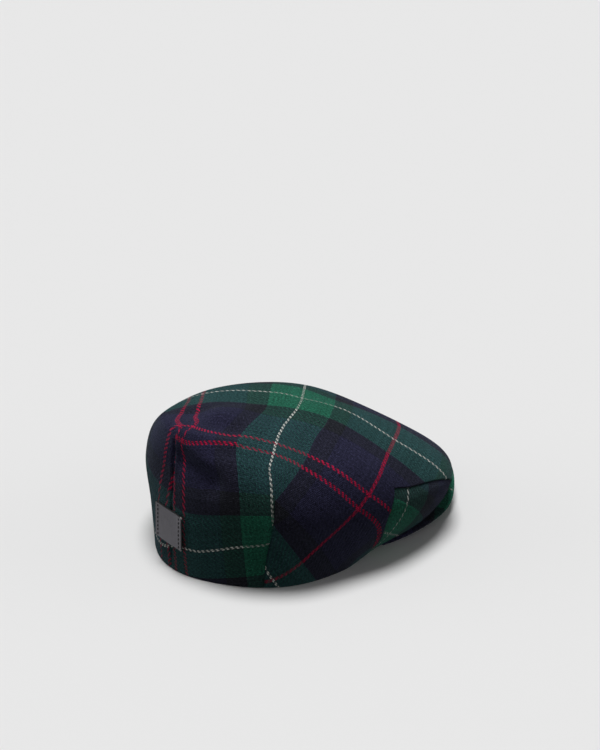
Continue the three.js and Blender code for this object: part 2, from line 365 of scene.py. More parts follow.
@dataclass
class CapForm:
    """The whole crown as one smooth surface, from the rim to the apex, with its folds and seams.

    The outline at an angle is a centripetal Catmull-Rom curve through the rim, wall, belly,
    shoulder, top and apex, and each of its sizes goes round the head on a Catmull-Rom curve. The
    sections go from the front to the back, an equal step apart, and the left mirrors the right.
    """

    axis_y: float
    apex_up: float = 114.0
    front_lift: float = 22.0
    lift_angle: float = 76.0
    wall: float = 2.5
    edge_radius: float = 0.6
    section_step: float = 30.0
    sections: tuple[Section, ...] = (
        Section(172, 170, 28, 157, 41, 127, 63, 66, 97),
        Section(139, 147, 28, 148, 46, 125, 69, 67, 101),
        Section(91, 112, 26, 121, 51, 106, 79, 62, 104),
        Section(88, 97, 28, 103, 58, 91, 90, 53, 108),
        Section(93, 98, 32, 103, 65, 90, 94, 52, 110),
        Section(96, 98, 35, 100, 72, 91, 103, 54, 115),
        Section(101, 100, 37, 97, 78, 92, 112, 56, 121),
    )
    folds: tuple[Fold, ...] = (
        Fold(150, 124, 212, 112, 6, 3.0),
        Fold(158, 143, 204, 140, 11, -3.5),
        Fold(173, 98, 156, 88, 10, -5.0),
    )
    fold_radius: float = 95.0
    fold_start: float = 12.0
    seam_angle: float = 129.0
    dart_top: float = 98.0
    dart_seen: float = 76.0
    back_seam_top: float = 113.0
    leans: tuple[Lean, ...] = (
        Lean(129, 13, (0, 25, 50, 75), (2.5, 1.5, -1.0, -2.5)),
        Lean(70, 11, (0, 20, 50, 75, 90), (-1.0, 0.0, 4.0, 0.5, 0.0)),
    )
    seam_columns: tuple[float, ...] = (22, 30, 38, 47, 54, 61, 68.5, 70.5)
    seam_arcs: tuple[float, ...] = (0, 21, 39, 56, 65, 71, 75, 0)
    seam_samples: int = 25
    seam_radius: float = 110.0
    sewn: SewnSeam = SewnSeam()
    normal_step: float = 1.5
    apex_margin: float = 3.0
    apex_blend: float = 14.0
    table_step: float = 0.5
    table_rows: int = 280
    stretch_samples: int = 24
    outs: Array = field(init=False, repr=False)
    ups: Array = field(init=False, repr=False)
    lengths: Array = field(init=False, repr=False)

    def __post_init__(self) -> None:
        """Works out the table of outlines."""
        self.outs, self.ups, self.lengths = self._outlines()

    def _around(self, angle: Array) -> Array:
        """Sizes of the outline, from the mirrored sections on a closed Catmull-Rom curve.

        Args:
            angle: Angles round the axis.

        Returns:
            One row per angle, with a section's sizes in order.
        """
        rows = np.array([astuple(section) for section in self.sections], float)
        closed = np.vstack([rows, rows[-2:0:-1]])
        place = np.mod(angle, FULL_TURN) / self.section_step
        start = np.floor(place).astype(int)
        weights = catmull_weights((place - start)[:, None])
        return sum(w * closed[(start + k - 1) % len(closed)] for k, w in enumerate(weights))

    def rim_up(self, angle: Array) -> Array:
        """Height of the rim: half a cosine wave, from the lift at the front down to 0.

        Args:
            angle: Angles round the axis.

        Returns:
            The rim's height at each angle.
        """
        turn = np.abs(np.mod(angle + HALF_TURN, FULL_TURN) - HALF_TURN)
        wave = (1.0 + np.cos(np.pi * turn / self.lift_angle)) / 2.0
        return np.where(turn < self.lift_angle, self.front_lift * wave, 0.0)

    def half_wall(self, distance: Array) -> Array:
        """Half thickness of the cloth at a distance from its edge, whose section is half an ellipse."""
        return half_thickness(distance, self.edge_radius) * (self.wall / 2.0) / self.edge_radius

    def rim_out(self, angle: Array) -> Array:
        """Reach of the rim from the axis."""
        return self._around(angle)[:, 0]

    def _outlines(self) -> tuple[Array, Array, Array]:
        """Table of outlines: reach and height at each angle, evenly by arc from rim to apex.

        Each stretch of the curve is a cubic by its two ends and its slopes there. A slope comes
        from the chords on both sides, each over the root of its length.

        Returns:
            Reaches, heights, and the outlines' lengths.
        """
        angle = np.arange(0.0, FULL_TURN + self.table_step / 2.0, self.table_step)
        rim_out, wall_out, wall_up, belly_out, belly_up, shoulder_out, shoulder_up, top_out, top_up = (
            self._around(angle).T
        )
        apex = np.full_like(angle, self.apex_up)
        outs = np.stack([rim_out, wall_out, belly_out, shoulder_out, top_out, 0.0 * apex, -top_out], axis=1)
        ups = np.stack([self.rim_up(angle), wall_up, belly_up, shoulder_up, top_up, apex, top_up], axis=1)
        points = np.stack([outs, ups], axis=-1)
        points = np.concatenate([2.0 * points[:, :1] - points[:, 1:2], points], axis=1)
        before, start, end, after = (points[:, k : k + 5, None] for k in range(4))
        gap_a, gap_b, gap_c = (
            np.sqrt(np.linalg.norm(b - a, axis=-1, keepdims=True))
            for a, b in ((before, start), (start, end), (end, after))
        )
        chord = (end - start) / gap_b
        leave = ((start - before) / gap_a - (end - before) / (gap_a + gap_b) + chord) * gap_b
        reach = (chord - (after - start) / (gap_b + gap_c) + (after - end) / gap_c) * gap_b
        t = np.linspace(0.0, 1.0, self.stretch_samples, endpoint=False)[None, None, :, None]
        curve = (
            (2 * t**3 - 3 * t**2 + 1) * start
            + (t**3 - 2 * t**2 + t) * leave
            + (3 * t**2 - 2 * t**3) * end
            + (t**3 - t**2) * reach
        )
        line = np.concatenate([curve.reshape(len(angle), -1, 2), points[:, 6:7]], axis=1)
        steps = np.linalg.norm(np.diff(line, axis=1), axis=-1)
        arcs = np.concatenate([np.zeros((len(angle), 1)), np.cumsum(steps, axis=1)], axis=1)
        lengths = arcs[:, -1]
        # Each outline's arcs are set far from the others', so that one call reads them all.
        apart = 10.0 * lengths.max() * np.arange(len(angle))[:, None]
        wanted = (lengths[:, None] * np.linspace(0.0, 1.0, self.table_rows + 1) + apart).ravel()
        even = [
            np.interp(wanted, (arcs + apart).ravel(), line[..., k].ravel()).reshape(len(angle), -1)
            for k in (0, 1)
        ]
        return even[0], even[1], lengths

    def length_at(self, angle: Array) -> Array:
        """Arc of the apex at each angle."""
        place = np.mod(angle, FULL_TURN) / self.table_step
        return np.interp(place, np.arange(len(self.lengths)), self.lengths)

    def smooth_point(self, angle: Array, arc: Array) -> Array:
        """Points of the surface without its folds, read from the table of outlines.

        Args:
            angle: Angles round the axis.
            arc: Arcs up the cloth, of the same shape.

        Returns:
            Points, with x, y and z last.
        """
        turn = np.mod(angle, FULL_TURN)
        place = turn / self.table_step
        j = np.minimum(place.astype(int), len(self.lengths) - 2)
        height = np.clip(arc / self.length_at(turn), 0.0, 1.0) * self.table_rows
        i = np.minimum(height.astype(int), self.table_rows - 1)
        f, g = place - j, height - i

        def read(table: Array) -> Array:
            """A table's values between its four nearest entries.

            Args:
                table: Values at each angle and step up the outline.

            Returns:
                The values at the places.
            """
            low = table[j, i] * (1.0 - g) + table[j, i + 1] * g
            high = table[j + 1, i] * (1.0 - g) + table[j + 1, i + 1] * g
            return low * (1.0 - f) + high * f

        out, up = read(self.outs), read(self.ups)
        t = np.radians(turn)
        return np.stack([-out * np.sin(t), self.axis_y - out * np.cos(t), up], axis=-1)

    def normal(self, angle: Array, arc: Array) -> Array:
        """Outward unit normal: the way up the cloth crossed with the way round it, upright at the apex.

        Args:
            angle: Angles round the axis.
            arc: Arcs up the cloth.

        Returns:
            Unit vectors, with x, y and z last.
        """
        step, length = self.normal_step, self.length_at(angle)
        low = np.minimum(arc, length - self.apex_margin)
        up = self.smooth_point(angle, np.minimum(arc + step, length - 1.0))
        up = up - self.smooth_point(angle, np.maximum(low - step, 0.0))
        turn = self.smooth_point(angle + step, low) - self.smooth_point(angle - step, low)
        across = np.cross(up, turn)
        across = across / np.linalg.norm(across, axis=-1, keepdims=True)
        share = smooth_step(length - arc, 0.0, self.apex_blend)[..., None]
        blended = across * share + np.array([0.0, 0.0, 1.0]) * (1.0 - share)
        return blended / np.linalg.norm(blended, axis=-1, keepdims=True)

    def raised_point(self, angle: Array, arc: Array, height: Array) -> Array:
        """Points at a height over the surface without its folds, along its normal."""
        return self.smooth_point(angle, arc) + self.normal(angle, arc) * height[..., None]

    def sheet_point(self, angle: Array, arc: Array, height: Array, half: Array) -> Array:
        """Points on one side of the cloth, kept above the ground.

        The middle of the cloth lies half a wall under its height over the smooth surface.

        Args:
            angle: Angles round the axis.
            arc: Arcs up the cloth.
            height: Heights of the folds.
            half: Half thickness, negative on the inside.

        Returns:
            Points, with x, y and z last.
        """
        points = self.raised_point(angle, arc, height - self.wall / 2.0 + half)
        points[..., 2] = np.maximum(points[..., 2], 0.0)
        return points

    def angle_at(self, column: Array, arc: Array) -> Array:
        """Angle of a column at an arc, with the seams' lean, mirrored on the wearer's left.

        Args:
            column: Columns of the places.
            arc: Their arcs.

        Returns:
            Their angles.
        """
        side = np.where(column > HALF_TURN, -1.0, 1.0)
        turn = from_front(column)
        lean = sum(
            rows_curve(arc, seam.arcs, seam.degrees) * bell(turn - seam.column, seam.width)
            for seam in self.leans
        )
        return np.mod(side * (turn + lean), FULL_TURN)

    def seam_arc(self, column: Array) -> Array:
        """Arc of the front-corner seam at a column, and 0 where the cloth runs down to the rim.

        Args:
            column: Columns of the places.

        Returns:
            The seam's arcs.
        """
        turn = from_front(column)
        corner = self.seam_columns[-2]
        rising = rows_curve(turn, self.seam_columns[:-1], self.seam_arcs[:-1])
        falling = np.interp(turn, self.seam_columns[-2:], self.seam_arcs[-2:])
        inside = (turn > self.seam_columns[0]) & (turn < self.seam_columns[-1])
        return np.where(inside, np.where(turn < corner, rising, falling), 0.0)

    def seam_line(self) -> tuple[Array, Array]:
        """The front-corner seam's line, up its long edge and down its short one.

        Returns:
            Columns and arcs along it.
        """
        rising = np.linspace(self.seam_columns[0], self.seam_columns[-2], self.seam_samples)
        arcs = rows_curve(rising, self.seam_columns[:-1], self.seam_arcs[:-1])
        return np.append(rising, self.seam_columns[-1]), np.append(arcs, 0.0)

    def seam_distance(self, column: Array, arc: Array) -> Array:
        """Distance on the cloth from the front-corner seam, to the nearest of its short straights.

        Args:
            column: Columns of the places.
            arc: Arcs of the places.

        Returns:
            Distances in millimetres.
        """
        per_degree = math.radians(self.seam_radius)
        columns, ys = self.seam_line()
        xs = columns * per_degree
        place = np.stack([from_front(column) * per_degree, arc], axis=-1)[..., None, :]
        start = np.stack([xs[:-1], ys[:-1]], axis=-1)
        along = np.stack([np.diff(xs), np.diff(ys)], axis=-1)
        f = np.clip(((place - start) * along).sum(-1) / (along**2).sum(-1), 0.0, 1.0)
        return np.linalg.norm(place - start - f[..., None] * along, axis=-1).min(axis=-1)

    def fold_height(self, column: Array, angle: Array, arc: Array) -> Array:
        """Sum of the folds, which start above the rim, and the sewn seams.

        A fold is a bell across its line that fades past both ends.

        Args:
            column: Columns of the places.
            angle: Their angles.
            arc: Their arcs.

        Returns:
            Heights over the smooth surface.
        """
        per_degree = math.radians(self.fold_radius)
        place = np.stack([np.mod(angle, FULL_TURN) * per_degree, arc], axis=-1)
        total = np.zeros(np.shape(arc))
        for fold in self.folds:
            start = np.array([fold.from_angle * per_degree, fold.from_arc])
            along = np.array([fold.to_angle * per_degree, fold.to_arc]) - start
            f = np.clip(((place - start) @ along) / (along @ along), 0.0, 1.0)
            apart = np.linalg.norm(place - start - f[..., None] * along, axis=-1)
            total += fold.height * bell(apart, fold.width)
        total *= smooth_step(arc, 0.0, self.fold_start)
        for at, top in ((self.seam_angle, self.dart_seen), (HALF_TURN, self.back_seam_top)):
            total -= self.sewn.depth(np.abs(from_front(column) - at) * per_degree, arc, at, top)
        return total


# ---------------------------------------------------------------------------------------------
# How the cloth's pattern lies
# ---------------------------------------------------------------------------------------------


def bias_threads(ahead: Array, sideways: Array) -> Array:
    """Warp and weft places of cloth cut on the bias: the sum and the difference, over root 2."""
    return np.stack([ahead + sideways, sideways - ahead], axis=-1) / math.sqrt(2.0)


@dataclass(frozen=True)
class Ease:
    """A small shift of the pattern where the cloth was eased in: its place, shift and spread."""

    warp: float
    weft: float
    warp_shift: float
    weft_shift: float
    spread: float


@dataclass
class ClothLay:
    """Where each place of the crown lies on the flat cloth that it was cut from.

    Half of the crown, cut open at its side dart and back seam, is flattened with as little stretch
    as can be: each small triangle turns rigidly, and all are joined by least squares, over and over.
    The cloth is cut on the bias, so its threads run at 45 degrees to the centre line. Eases shift
    the pattern a little on top of that, each half by its own, in the right half's coordinates.
    """

    form: CapForm
    columns: int = 60
    rows: int = 30
    rounds: int = 30
    seam_lean: float = 42.0
    centre_ahead: float = 31.0
    right_eases: tuple[Ease, ...] = (
        Ease(-5, 60, 5, -2, 30),
        Ease(-40, 90, 9, 0, 30),
        Ease(25, 115, 5, -3, 25),
        Ease(30, 75, 4, -3, 30),
        Ease(75, 15, 3, -15, 40),
        Ease(75, 50, 4, 0, 30),
        Ease(110, 75, 0, 11, 30),
        Ease(90, 165, -9, 0, 40),
        Ease(-75, 185, 3, -14, 40),
        Ease(-80, 90, 8, -6, 35),
    )
    left_eases: tuple[Ease, ...] = (
        Ease(-70, 85, 0, -4, 40),
        Ease(10, 85, 0, -6, 45),
        Ease(30, 90, -18, 0, 45),
        Ease(-85, 165, -9, 0, 35),
        Ease(-85, 210, 0, -34, 55),
        Ease(-30, 205, 0, -18, 45),
    )
    ease_centre: float = 12.0
    corner_above: float = 2.0
    weight_limits: tuple[float, float] = (0.02, 20.0)
    inner_rounds: int = 110
    least_area: float = 1e-9
    least_force: float = 1e-12
    flat: tuple[Array, Array] = field(init=False, repr=False)

    def __post_init__(self) -> None:
        """Flattens the half crown."""
        self.flat = self._flatten()

    def _triangles(self) -> tuple[Array, Array, Array, Array, int]:
        """The coarse half crown, cut open along the dart below its top.

        Returns:
            Points, triangles, point numbers seen from the cell before and after each column, and
            the row where the back seam ends.
        """
        form = self.form
        column = np.linspace(0.0, HALF_TURN, self.columns + 1)
        fraction = np.linspace(0.0, 1.0, self.rows + 1)[:, None]
        arc = fraction * form.length_at(column)[None]
        angle = form.angle_at(np.broadcast_to(column, arc.shape), arc)
        points = form.smooth_point(np.where(column[None] == HALF_TURN, HALF_TURN, angle), arc)
        dart = int(round(form.seam_angle / HALF_TURN * self.columns))
        cut = int(np.searchsorted(arc[:, dart], form.dart_top))
        before = np.arange(self.rows * (self.columns + 1)).reshape(self.rows, -1)
        pole = before.size
        before = np.vstack([before, np.full((1, self.columns + 1), pole)])
        after = before.copy()
        after[:cut, dart] = pole + 1 + np.arange(cut)
        flat = np.vstack([points[:-1].reshape(-1, 3), points[-1:, 0], points[:cut, dart]])
        a, d = after[:-1, :-1], after[1:, :-1]
        b, c = before[:-1, 1:], before[1:, 1:]
        lower = np.stack([a, b, c], axis=-1).reshape(-1, 3)
        upper = np.stack([a, c, d], axis=-1)[:-1].reshape(-1, 3)
        corner = int(np.searchsorted(arc[:, -1], form.back_seam_top + self.corner_above))
        return flat, np.vstack([lower, upper]), before, after, corner

    def _corner_weights(self, points: Array, faces: Array) -> tuple[Array, Array]:
        """Each triangle laid flat, and how strongly each of its sides holds.

        A side's weight is the cotangent of the angle opposite, kept between two limits.

        Args:
            points: The coarse half crown's points.
            faces: Its triangles.

        Returns:
            Flat corners of each triangle, and the weights of its sides.
        """
        along = points[faces[:, 1]] - points[faces[:, 0]]
        across = points[faces[:, 2]] - points[faces[:, 0]]
        reach = np.linalg.norm(along, axis=1)
        local = np.zeros((len(faces), 3, 2))
        local[:, 1, 0] = reach
        local[:, 2, 0] = (along * across).sum(1) / reach
        local[:, 2, 1] = np.linalg.norm(np.cross(along, across), axis=1) / reach
        from_other = local - np.roll(local, 1, axis=1)
        to_next = np.roll(local, -1, axis=1) - np.roll(local, 1, axis=1)
        area = from_other[..., 0] * to_next[..., 1] - from_other[..., 1] * to_next[..., 0]
        dot = (from_other * to_next).sum(-1)
        return local, np.clip(dot / np.maximum(np.abs(area), self.least_area), *self.weight_limits)

    def _flatten(self) -> tuple[Array, Array]:
        """Flattens the half crown by turns of rigid fitting and least squares.

        The centre line stays straight, and the back seam's edge is held to a straight line that
        leans away from it, as the cloth was cut. The least squares are solved by conjugate
        gradients, with every step projected onto the places that keep to those lines.

        Returns:
            Flat places of the grid's points seen from the cells before and after each column.
        """
        points, faces, before, after, corner_row = self._triangles()
        count = len(points)
        local, weights = self._corner_weights(points, faces)
        start, end = faces.ravel(), np.roll(faces, -1, axis=1).ravel()
        pull = weights.ravel()[:, None]
        pole = before[-1, 0]
        centre = np.concatenate([before[:, 0], before[corner_row:, -1]])
        edge, corner = before[:corner_row, -1], before[corner_row, -1]
        lean = math.radians(self.seam_lean)
        across_edge = np.array([math.sin(lean), math.cos(lean)])
        share = 1.0 / (len(edge) * across_edge[0] ** 2 + 1.0)

        def gather(forces: Array) -> Array:
            """Sums the sides' forces at the points, added at their starts and taken at their ends.

            Args:
                forces: The force of each side.

            Returns:
                The force at each point.
            """
            return np.stack(
                [
                    np.bincount(start, forces[:, d], count) - np.bincount(end, forces[:, d], count)
                    for d in (0, 1)
                ],
                axis=1,
            )

        def project(places: Array) -> Array:
            """Nearest places that keep the centre line and the seam's edge straight.

            Args:
                places: Flat places of the points.

            Returns:
                The kept places.
            """
            kept = places.copy()
            kept[centre, 1] = 0.0
            kept[pole, 0] = 0.0
            off = kept[edge] @ across_edge
            along = share * (across_edge[0] * off.sum() + kept[corner, 0])
            kept[edge] += (across_edge[0] * along - off)[:, None] * across_edge
            kept[corner, 0] = along
            return kept

        fraction = np.linspace(0.0, 1.0, self.rows + 1)[:, None]
        column = np.linspace(0.0, HALF_TURN, self.columns + 1)
        radius = (1.0 - fraction) * self.form.length_at(column)[None]
        turn = np.radians(column)[None]
        first = np.stack([radius * np.cos(turn), radius * np.sin(turn)], axis=-1).reshape(-1, 2)
        flat = np.zeros((count, 2))
        flat[after.ravel()] = first
        flat[before.ravel()] = first
        flat = project(flat)
        sides = flat[faces[:, 1:]] - flat[faces[:, :1]]
        hand = sides[:, 0, 0] * sides[:, 1, 1] - sides[:, 0, 1] * sides[:, 1, 0]
        local[:, 2, 1] *= np.sign(np.median(hand))
        rest = local - np.roll(local, -1, axis=1)
        for _ in range(self.rounds):
            moved = flat[faces] - flat[np.roll(faces, -1, axis=1)]
            spin = np.einsum("fk,fka,fkb->fab", weights, moved, rest)
            angle = np.arctan2(spin[:, 1, 0] - spin[:, 0, 1], spin[:, 0, 0] + spin[:, 1, 1])
            cosine, sine = np.cos(angle)[:, None], np.sin(angle)[:, None]
            turned_ahead = cosine * rest[..., 0] - sine * rest[..., 1]
            turned_out = sine * rest[..., 0] + cosine * rest[..., 1]
            turned = np.stack([turned_ahead, turned_out], axis=-1)
            wanted = gather(pull * turned.reshape(-1, 2))
            left = project(wanted - gather(pull * (flat[start] - flat[end])))
            step, size = left.copy(), (left**2).sum()
            for _ in range(self.inner_rounds):
                force = project(gather(pull * (step[start] - step[end])))
                reach = size / max((step * force).sum(), self.least_force)
                flat = flat + reach * step
                left = left - reach * force
                last, size = size, (left**2).sum()
                step = left + step * (size / last)
        return flat[before], flat[after]

    def _read(self, grid: Array, column_place: Array, row_place: Array) -> Array:
        """Flat place between a grid's points, by Catmull-Rom curves both ways.

        Args:
            grid: Flat places, rows by columns.
            column_place: Where to read it, in columns.
            row_place: Where to read it, in rows.

        Returns:
            Flat places, with the way ahead and the way sideways last.
        """
        before, after = 2 * grid[:, :1] - grid[:, 1:2], 2 * grid[:, -1:] - grid[:, -2:-1]
        wide = np.concatenate([before, grid, after], axis=1)
        full = np.concatenate([2 * wide[:1] - wide[1:2], wide, 2 * wide[-1:] - wide[-2:-1]], axis=0)
        i = np.clip(row_place.astype(int), 0, grid.shape[0] - 2)
        j = np.clip(column_place.astype(int), 0, grid.shape[1] - 2)
        down = catmull_weights((row_place - i)[..., None])
        over = catmull_weights((column_place - j)[..., None])
        return sum(down[a] * over[b] * full[i + a, j + b] for a in range(4) for b in range(4))

    def _eased(self, threads: Array, sideways: Array, eases: Sequence[Ease]) -> Array:
        """Thread coordinates with eases added, fading to nothing at the centre line.

        Args:
            threads: Warp and weft places, last.
            sideways: Way out from the centre line, where the two halves are one cloth.
            eases: The eases to add.

        Returns:
            The shifted places.
        """
        strength = 1.0 - bell(sideways, self.ease_centre)
        shift = np.zeros_like(threads)
        for ease in eases:
            apart = np.hypot(threads[..., 0] - ease.warp, threads[..., 1] - ease.weft)
            share = strength * bell(apart, ease.spread)
            shift += share[..., None] * np.array([ease.warp_shift, ease.weft_shift])
        return threads + shift

    def place(self, column: Array, arc: Array, later: bool, eased: bool = True) -> Array:
        """Thread coordinates of places on the crown.

        They are counted from the crown's main crossing of white lines. The left half mirrors the
        right half's cloth, with its own eases.

        Args:
            column: Columns of the places.
            arc: Their arcs.
            later: True to read a seam's column for the cell after it, and False for the one before.
            eased: Whether the eases are added.

        Returns:
            Warp and weft places in millimetres, last.
        """
        form = self.form
        left = (column > HALF_TURN) | ((column == HALF_TURN) & later)
        turn = from_front(column)
        fraction = np.clip(arc / form.length_at(turn), 0.0, 1.0) * self.rows
        dart = int(round(form.seam_angle / HALF_TURN * self.columns))
        behind = (turn > form.seam_angle) | ((turn == form.seam_angle) & (later != left))
        before, after = self.flat
        place = turn / HALF_TURN * self.columns
        front = self._read(before[:, : dart + 1], np.minimum(place, dart), fraction)
        rear_grid = np.concatenate([after[:, dart : dart + 1], before[:, dart + 1 :]], axis=1)
        rear = self._read(rear_grid, np.maximum(place - dart, 0.0), fraction)
        flat = np.where(behind[..., None], rear, front)
        ahead, sideways = flat[..., 0] - self.centre_ahead, flat[..., 1]
        threads = bias_threads(ahead, sideways)
        right_cloth = self._eased(threads, sideways, self.right_eases if eased else ())
        left_cloth = self._eased(threads, sideways, self.left_eases if eased else ())
        return np.where(left[..., None], -left_cloth[..., ::-1], right_cloth)


# ---------------------------------------------------------------------------------------------
# Shader tools
# ---------------------------------------------------------------------------------------------


class Value:
    """A node's output that takes part in sums, which add Math nodes."""

    def __init__(self, shader: "Shader", socket: bpy.types.NodeSocket) -> None:
        """Wraps a socket of a shader."""
        self.shader = shader
        self.socket = socket

    def __add__(self, other: "Value | float") -> "Value":
        """Sum."""
        return self.shader.math("ADD", self, other)

    def __radd__(self, other: float) -> "Value":
        """Sum, from the right."""
        return self.shader.math("ADD", other, self)

    def __sub__(self, other: "Value | float") -> "Value":
        """Difference."""
        return self.shader.math("SUBTRACT", self, other)

    def __rsub__(self, other: float) -> "Value":
        """Difference, from the right."""
        return self.shader.math("SUBTRACT", other, self)

    def __mul__(self, other: "Value | float") -> "Value":
        """Product."""
        return self.shader.math("MULTIPLY", self, other)

    def __rmul__(self, other: float) -> "Value":
        """Product, from the right."""
        return self.shader.math("MULTIPLY", other, self)

    def __truediv__(self, other: "Value | float") -> "Value":
        """Quotient."""
        return self.shader.math("DIVIDE", self, other)

    def __mod__(self, other: float) -> "Value":
        """Remainder that is never negative."""
        return self.shader.math("FLOORED_MODULO", self, other)

    def __lt__(self, other: "Value | float") -> "Value":
        """1 where it is less, and 0 elsewhere."""
        return self.shader.math("LESS_THAN", self, other)

    def floor(self) -> "Value":
        """Whole number below."""
        return self.shader.math("FLOOR", self)

    def sine(self) -> "Value":
        """Sine, in radians."""
        return self.shader.math("SINE", self)

    def fold(self, length: float) -> "Value":
        """Runs up to the length and back down, over and over."""
        return self.shader.math("PINGPONG", self, length)


class Noise(NamedTuple):
    """Sizes of a noise: its scale per metre, its octaves of detail and how rough they are."""

    scale: float
    detail: float = 2.0
    roughness: float = 0.5


class Shader:
    """One material with a Principled shader, and short ways to add its nodes."""

    def __init__(self, name: str) -> None:
        """Makes an empty material.

        Args:
            name: The material's name.
        """
        self.material = bpy.data.materials.new(name)
        self.material.use_nodes = True
        self.tree = self.material.node_tree
        self.tree.nodes.clear()

    def node(
        self, kind: str, settings: dict[str, Any] | None = None, inputs: Inputs | None = None
    ) -> bpy.types.Node:
        """Adds a node.

        Args:
            kind: The node's type.
            settings: Its settings, set first; "stops" are a ramp's places and colours.
            inputs: Values or links of its sockets, by name or index.

        Returns:
            The node.
        """
        made = self.tree.nodes.new(kind)
        for key, value in (settings or {}).items():
            if key == "stops":
                self._set_stops(made, value)
            else:
                setattr(made, key, value)
        for key, value in (inputs or {}).items():
            if isinstance(value, Value):
                self.tree.links.new(value.socket, made.inputs[key])
            else:
                made.inputs[key].default_value = value
        return made

    @staticmethod
    def _set_stops(ramp: bpy.types.Node, stops: Stops) -> None:
        """Sets a ramp's stops, in order.

        Args:
            ramp: The ramp's node.
            stops: Places and colours.
        """
        elements = ramp.color_ramp.elements
        for _ in range(len(stops) - len(elements)):
            elements.new(1.0)
        for element, (place, colour) in zip(elements, stops):
            element.position = place
            element.color = (*colour, 1.0)

    def value(self, node: bpy.types.Node, output: int | str = 0) -> Value:
        """One output of a node."""
        return Value(self, node.outputs[output])

    def math(self, operation: str, *values: "Value | float") -> Value:
        """Adds a Math node."""
        return self.value(self.node("ShaderNodeMath", {"operation": operation}, dict(enumerate(values))))

    def mix(self, factor: "Value | float", low: Any, high: Any, blend: str = "MIX") -> Value:
        """Mixes two colours.

        Args:
            factor: Share of the second.
            low: First colour or link.
            high: Second colour or link.
            blend: How they are mixed.

        Returns:
            The mixed colour.
        """
        sides = {0: factor, 6: self._colour(low), 7: self._colour(high)}
        made = self.node("ShaderNodeMix", {"data_type": "RGBA", "blend_type": blend}, sides)
        return self.value(made, 2)

    @staticmethod
    def _colour(value: Any) -> Any:
        """Gives a plain colour its fourth number."""
        return value if isinstance(value, Value) else (*value, 1.0)

    def noise(self, vector: Value, sizes: Noise) -> Value:
        """Smooth noise round 0.5.

        Args:
            vector: Where to read it.
            sizes: Its scale, detail and roughness.

        Returns:
            The noise.
        """
        scale, detail, roughness = sizes
        inputs: Inputs = {"Vector": vector, "Scale": scale, "Detail": detail, "Roughness": roughness}
        return self.value(self.node("ShaderNodeTexNoise", {"noise_dimensions": "3D"}, inputs))

    def one_random(self, value: Value) -> Value:
        """A random number from 0 to 1 for each whole number."""
        return self.value(self.node("ShaderNodeTexWhiteNoise", {"noise_dimensions": "1D"}, {"W": value}))

    def ramp(self, factor: Value, stops: Stops, easing: str) -> Value:
        """Colour ramp.

        Args:
            factor: Where to read it.
            stops: Its places and colours.
            easing: How it runs between them.

        Returns:
            The colour.
        """
        made = self.node("ShaderNodeValToRGB", {"stops": stops}, {0: factor})
        made.color_ramp.interpolation = easing
        return self.value(made)

    def falling(self, value: Value, ends: tuple[float, float]) -> Value:
        """Eases from 1 at the first end down to 0 at the second."""
        return self.ramp(value, [(ends[0], (1.0, 1.0, 1.0)), (ends[1], (0.0, 0.0, 0.0))], "EASE")

    def object_place(self) -> Value:
        """Object coordinates in metres."""
        return self.value(self.node("ShaderNodeTexCoord"), "Object")

    def cloth_place(self) -> tuple[Value, Value, Value]:
        """Cloth coordinates of the piece's own map.

        Returns:
            The vector in metres, and its warp and weft places in millimetres.
        """
        vector = self.value(self.node("ShaderNodeUVMap", {"uv_map": CLOTH_MAP}))
        parts = self.node("ShaderNodeSeparateXYZ", None, {0: vector})
        return vector, self.value(parts, 0) * (1.0 / MM), self.value(parts, 1) * (1.0 / MM)

    def finish(
        self, surface: Inputs, height: Value | None = None, depth: float = 0.0, strength: float = 1.0
    ) -> bpy.types.Material:
        """Adds the Principled shader, its bump and the output.

        Args:
            surface: The Principled shader's inputs.
            height: Height of the bump from 0 to 1.
            depth: Depth of the bump in metres.
            strength: How much of the bump is used.

        Returns:
            The finished material.
        """
        inputs = dict(surface)
        if height is not None:
            bump: Inputs = {"Strength": strength, "Distance": depth, "Height": height}
            inputs["Normal"] = self.value(self.node("ShaderNodeBump", None, bump))
        shader = self.node("ShaderNodeBsdfPrincipled", None, inputs)
        self.node("ShaderNodeOutputMaterial", None, {"Surface": self.value(shader)})
        return self.material


# ---------------------------------------------------------------------------------------------
# Finishes
# ---------------------------------------------------------------------------------------------


def times(colour: Colour, share: float) -> Colour:
    """A colour with each of its parts times a share."""
    return tuple(share * part for part in colour)


class Dye(Enum):
    """Colours of the dyed yarns, linear."""

    NONE = (0.0, 0.0, 0.0)
    GREEN = (0.024, 0.165, 0.099)
    BLACK = (0.024, 0.025, 0.033)
    NAVY = (0.031, 0.030, 0.067)
    WHITE = (0.68, 0.70, 0.65)
    RED = (0.46, 0.011, 0.057)


@dataclass(frozen=True)
class Band:
    """Part of the tartan: the yarns of one dye, up to but not including a place in the run.

    Cover is how much of a bright line's dye still shows where its yarns lie underneath.
    """

    end: float
    dye: Dye
    cover: float = 0.0


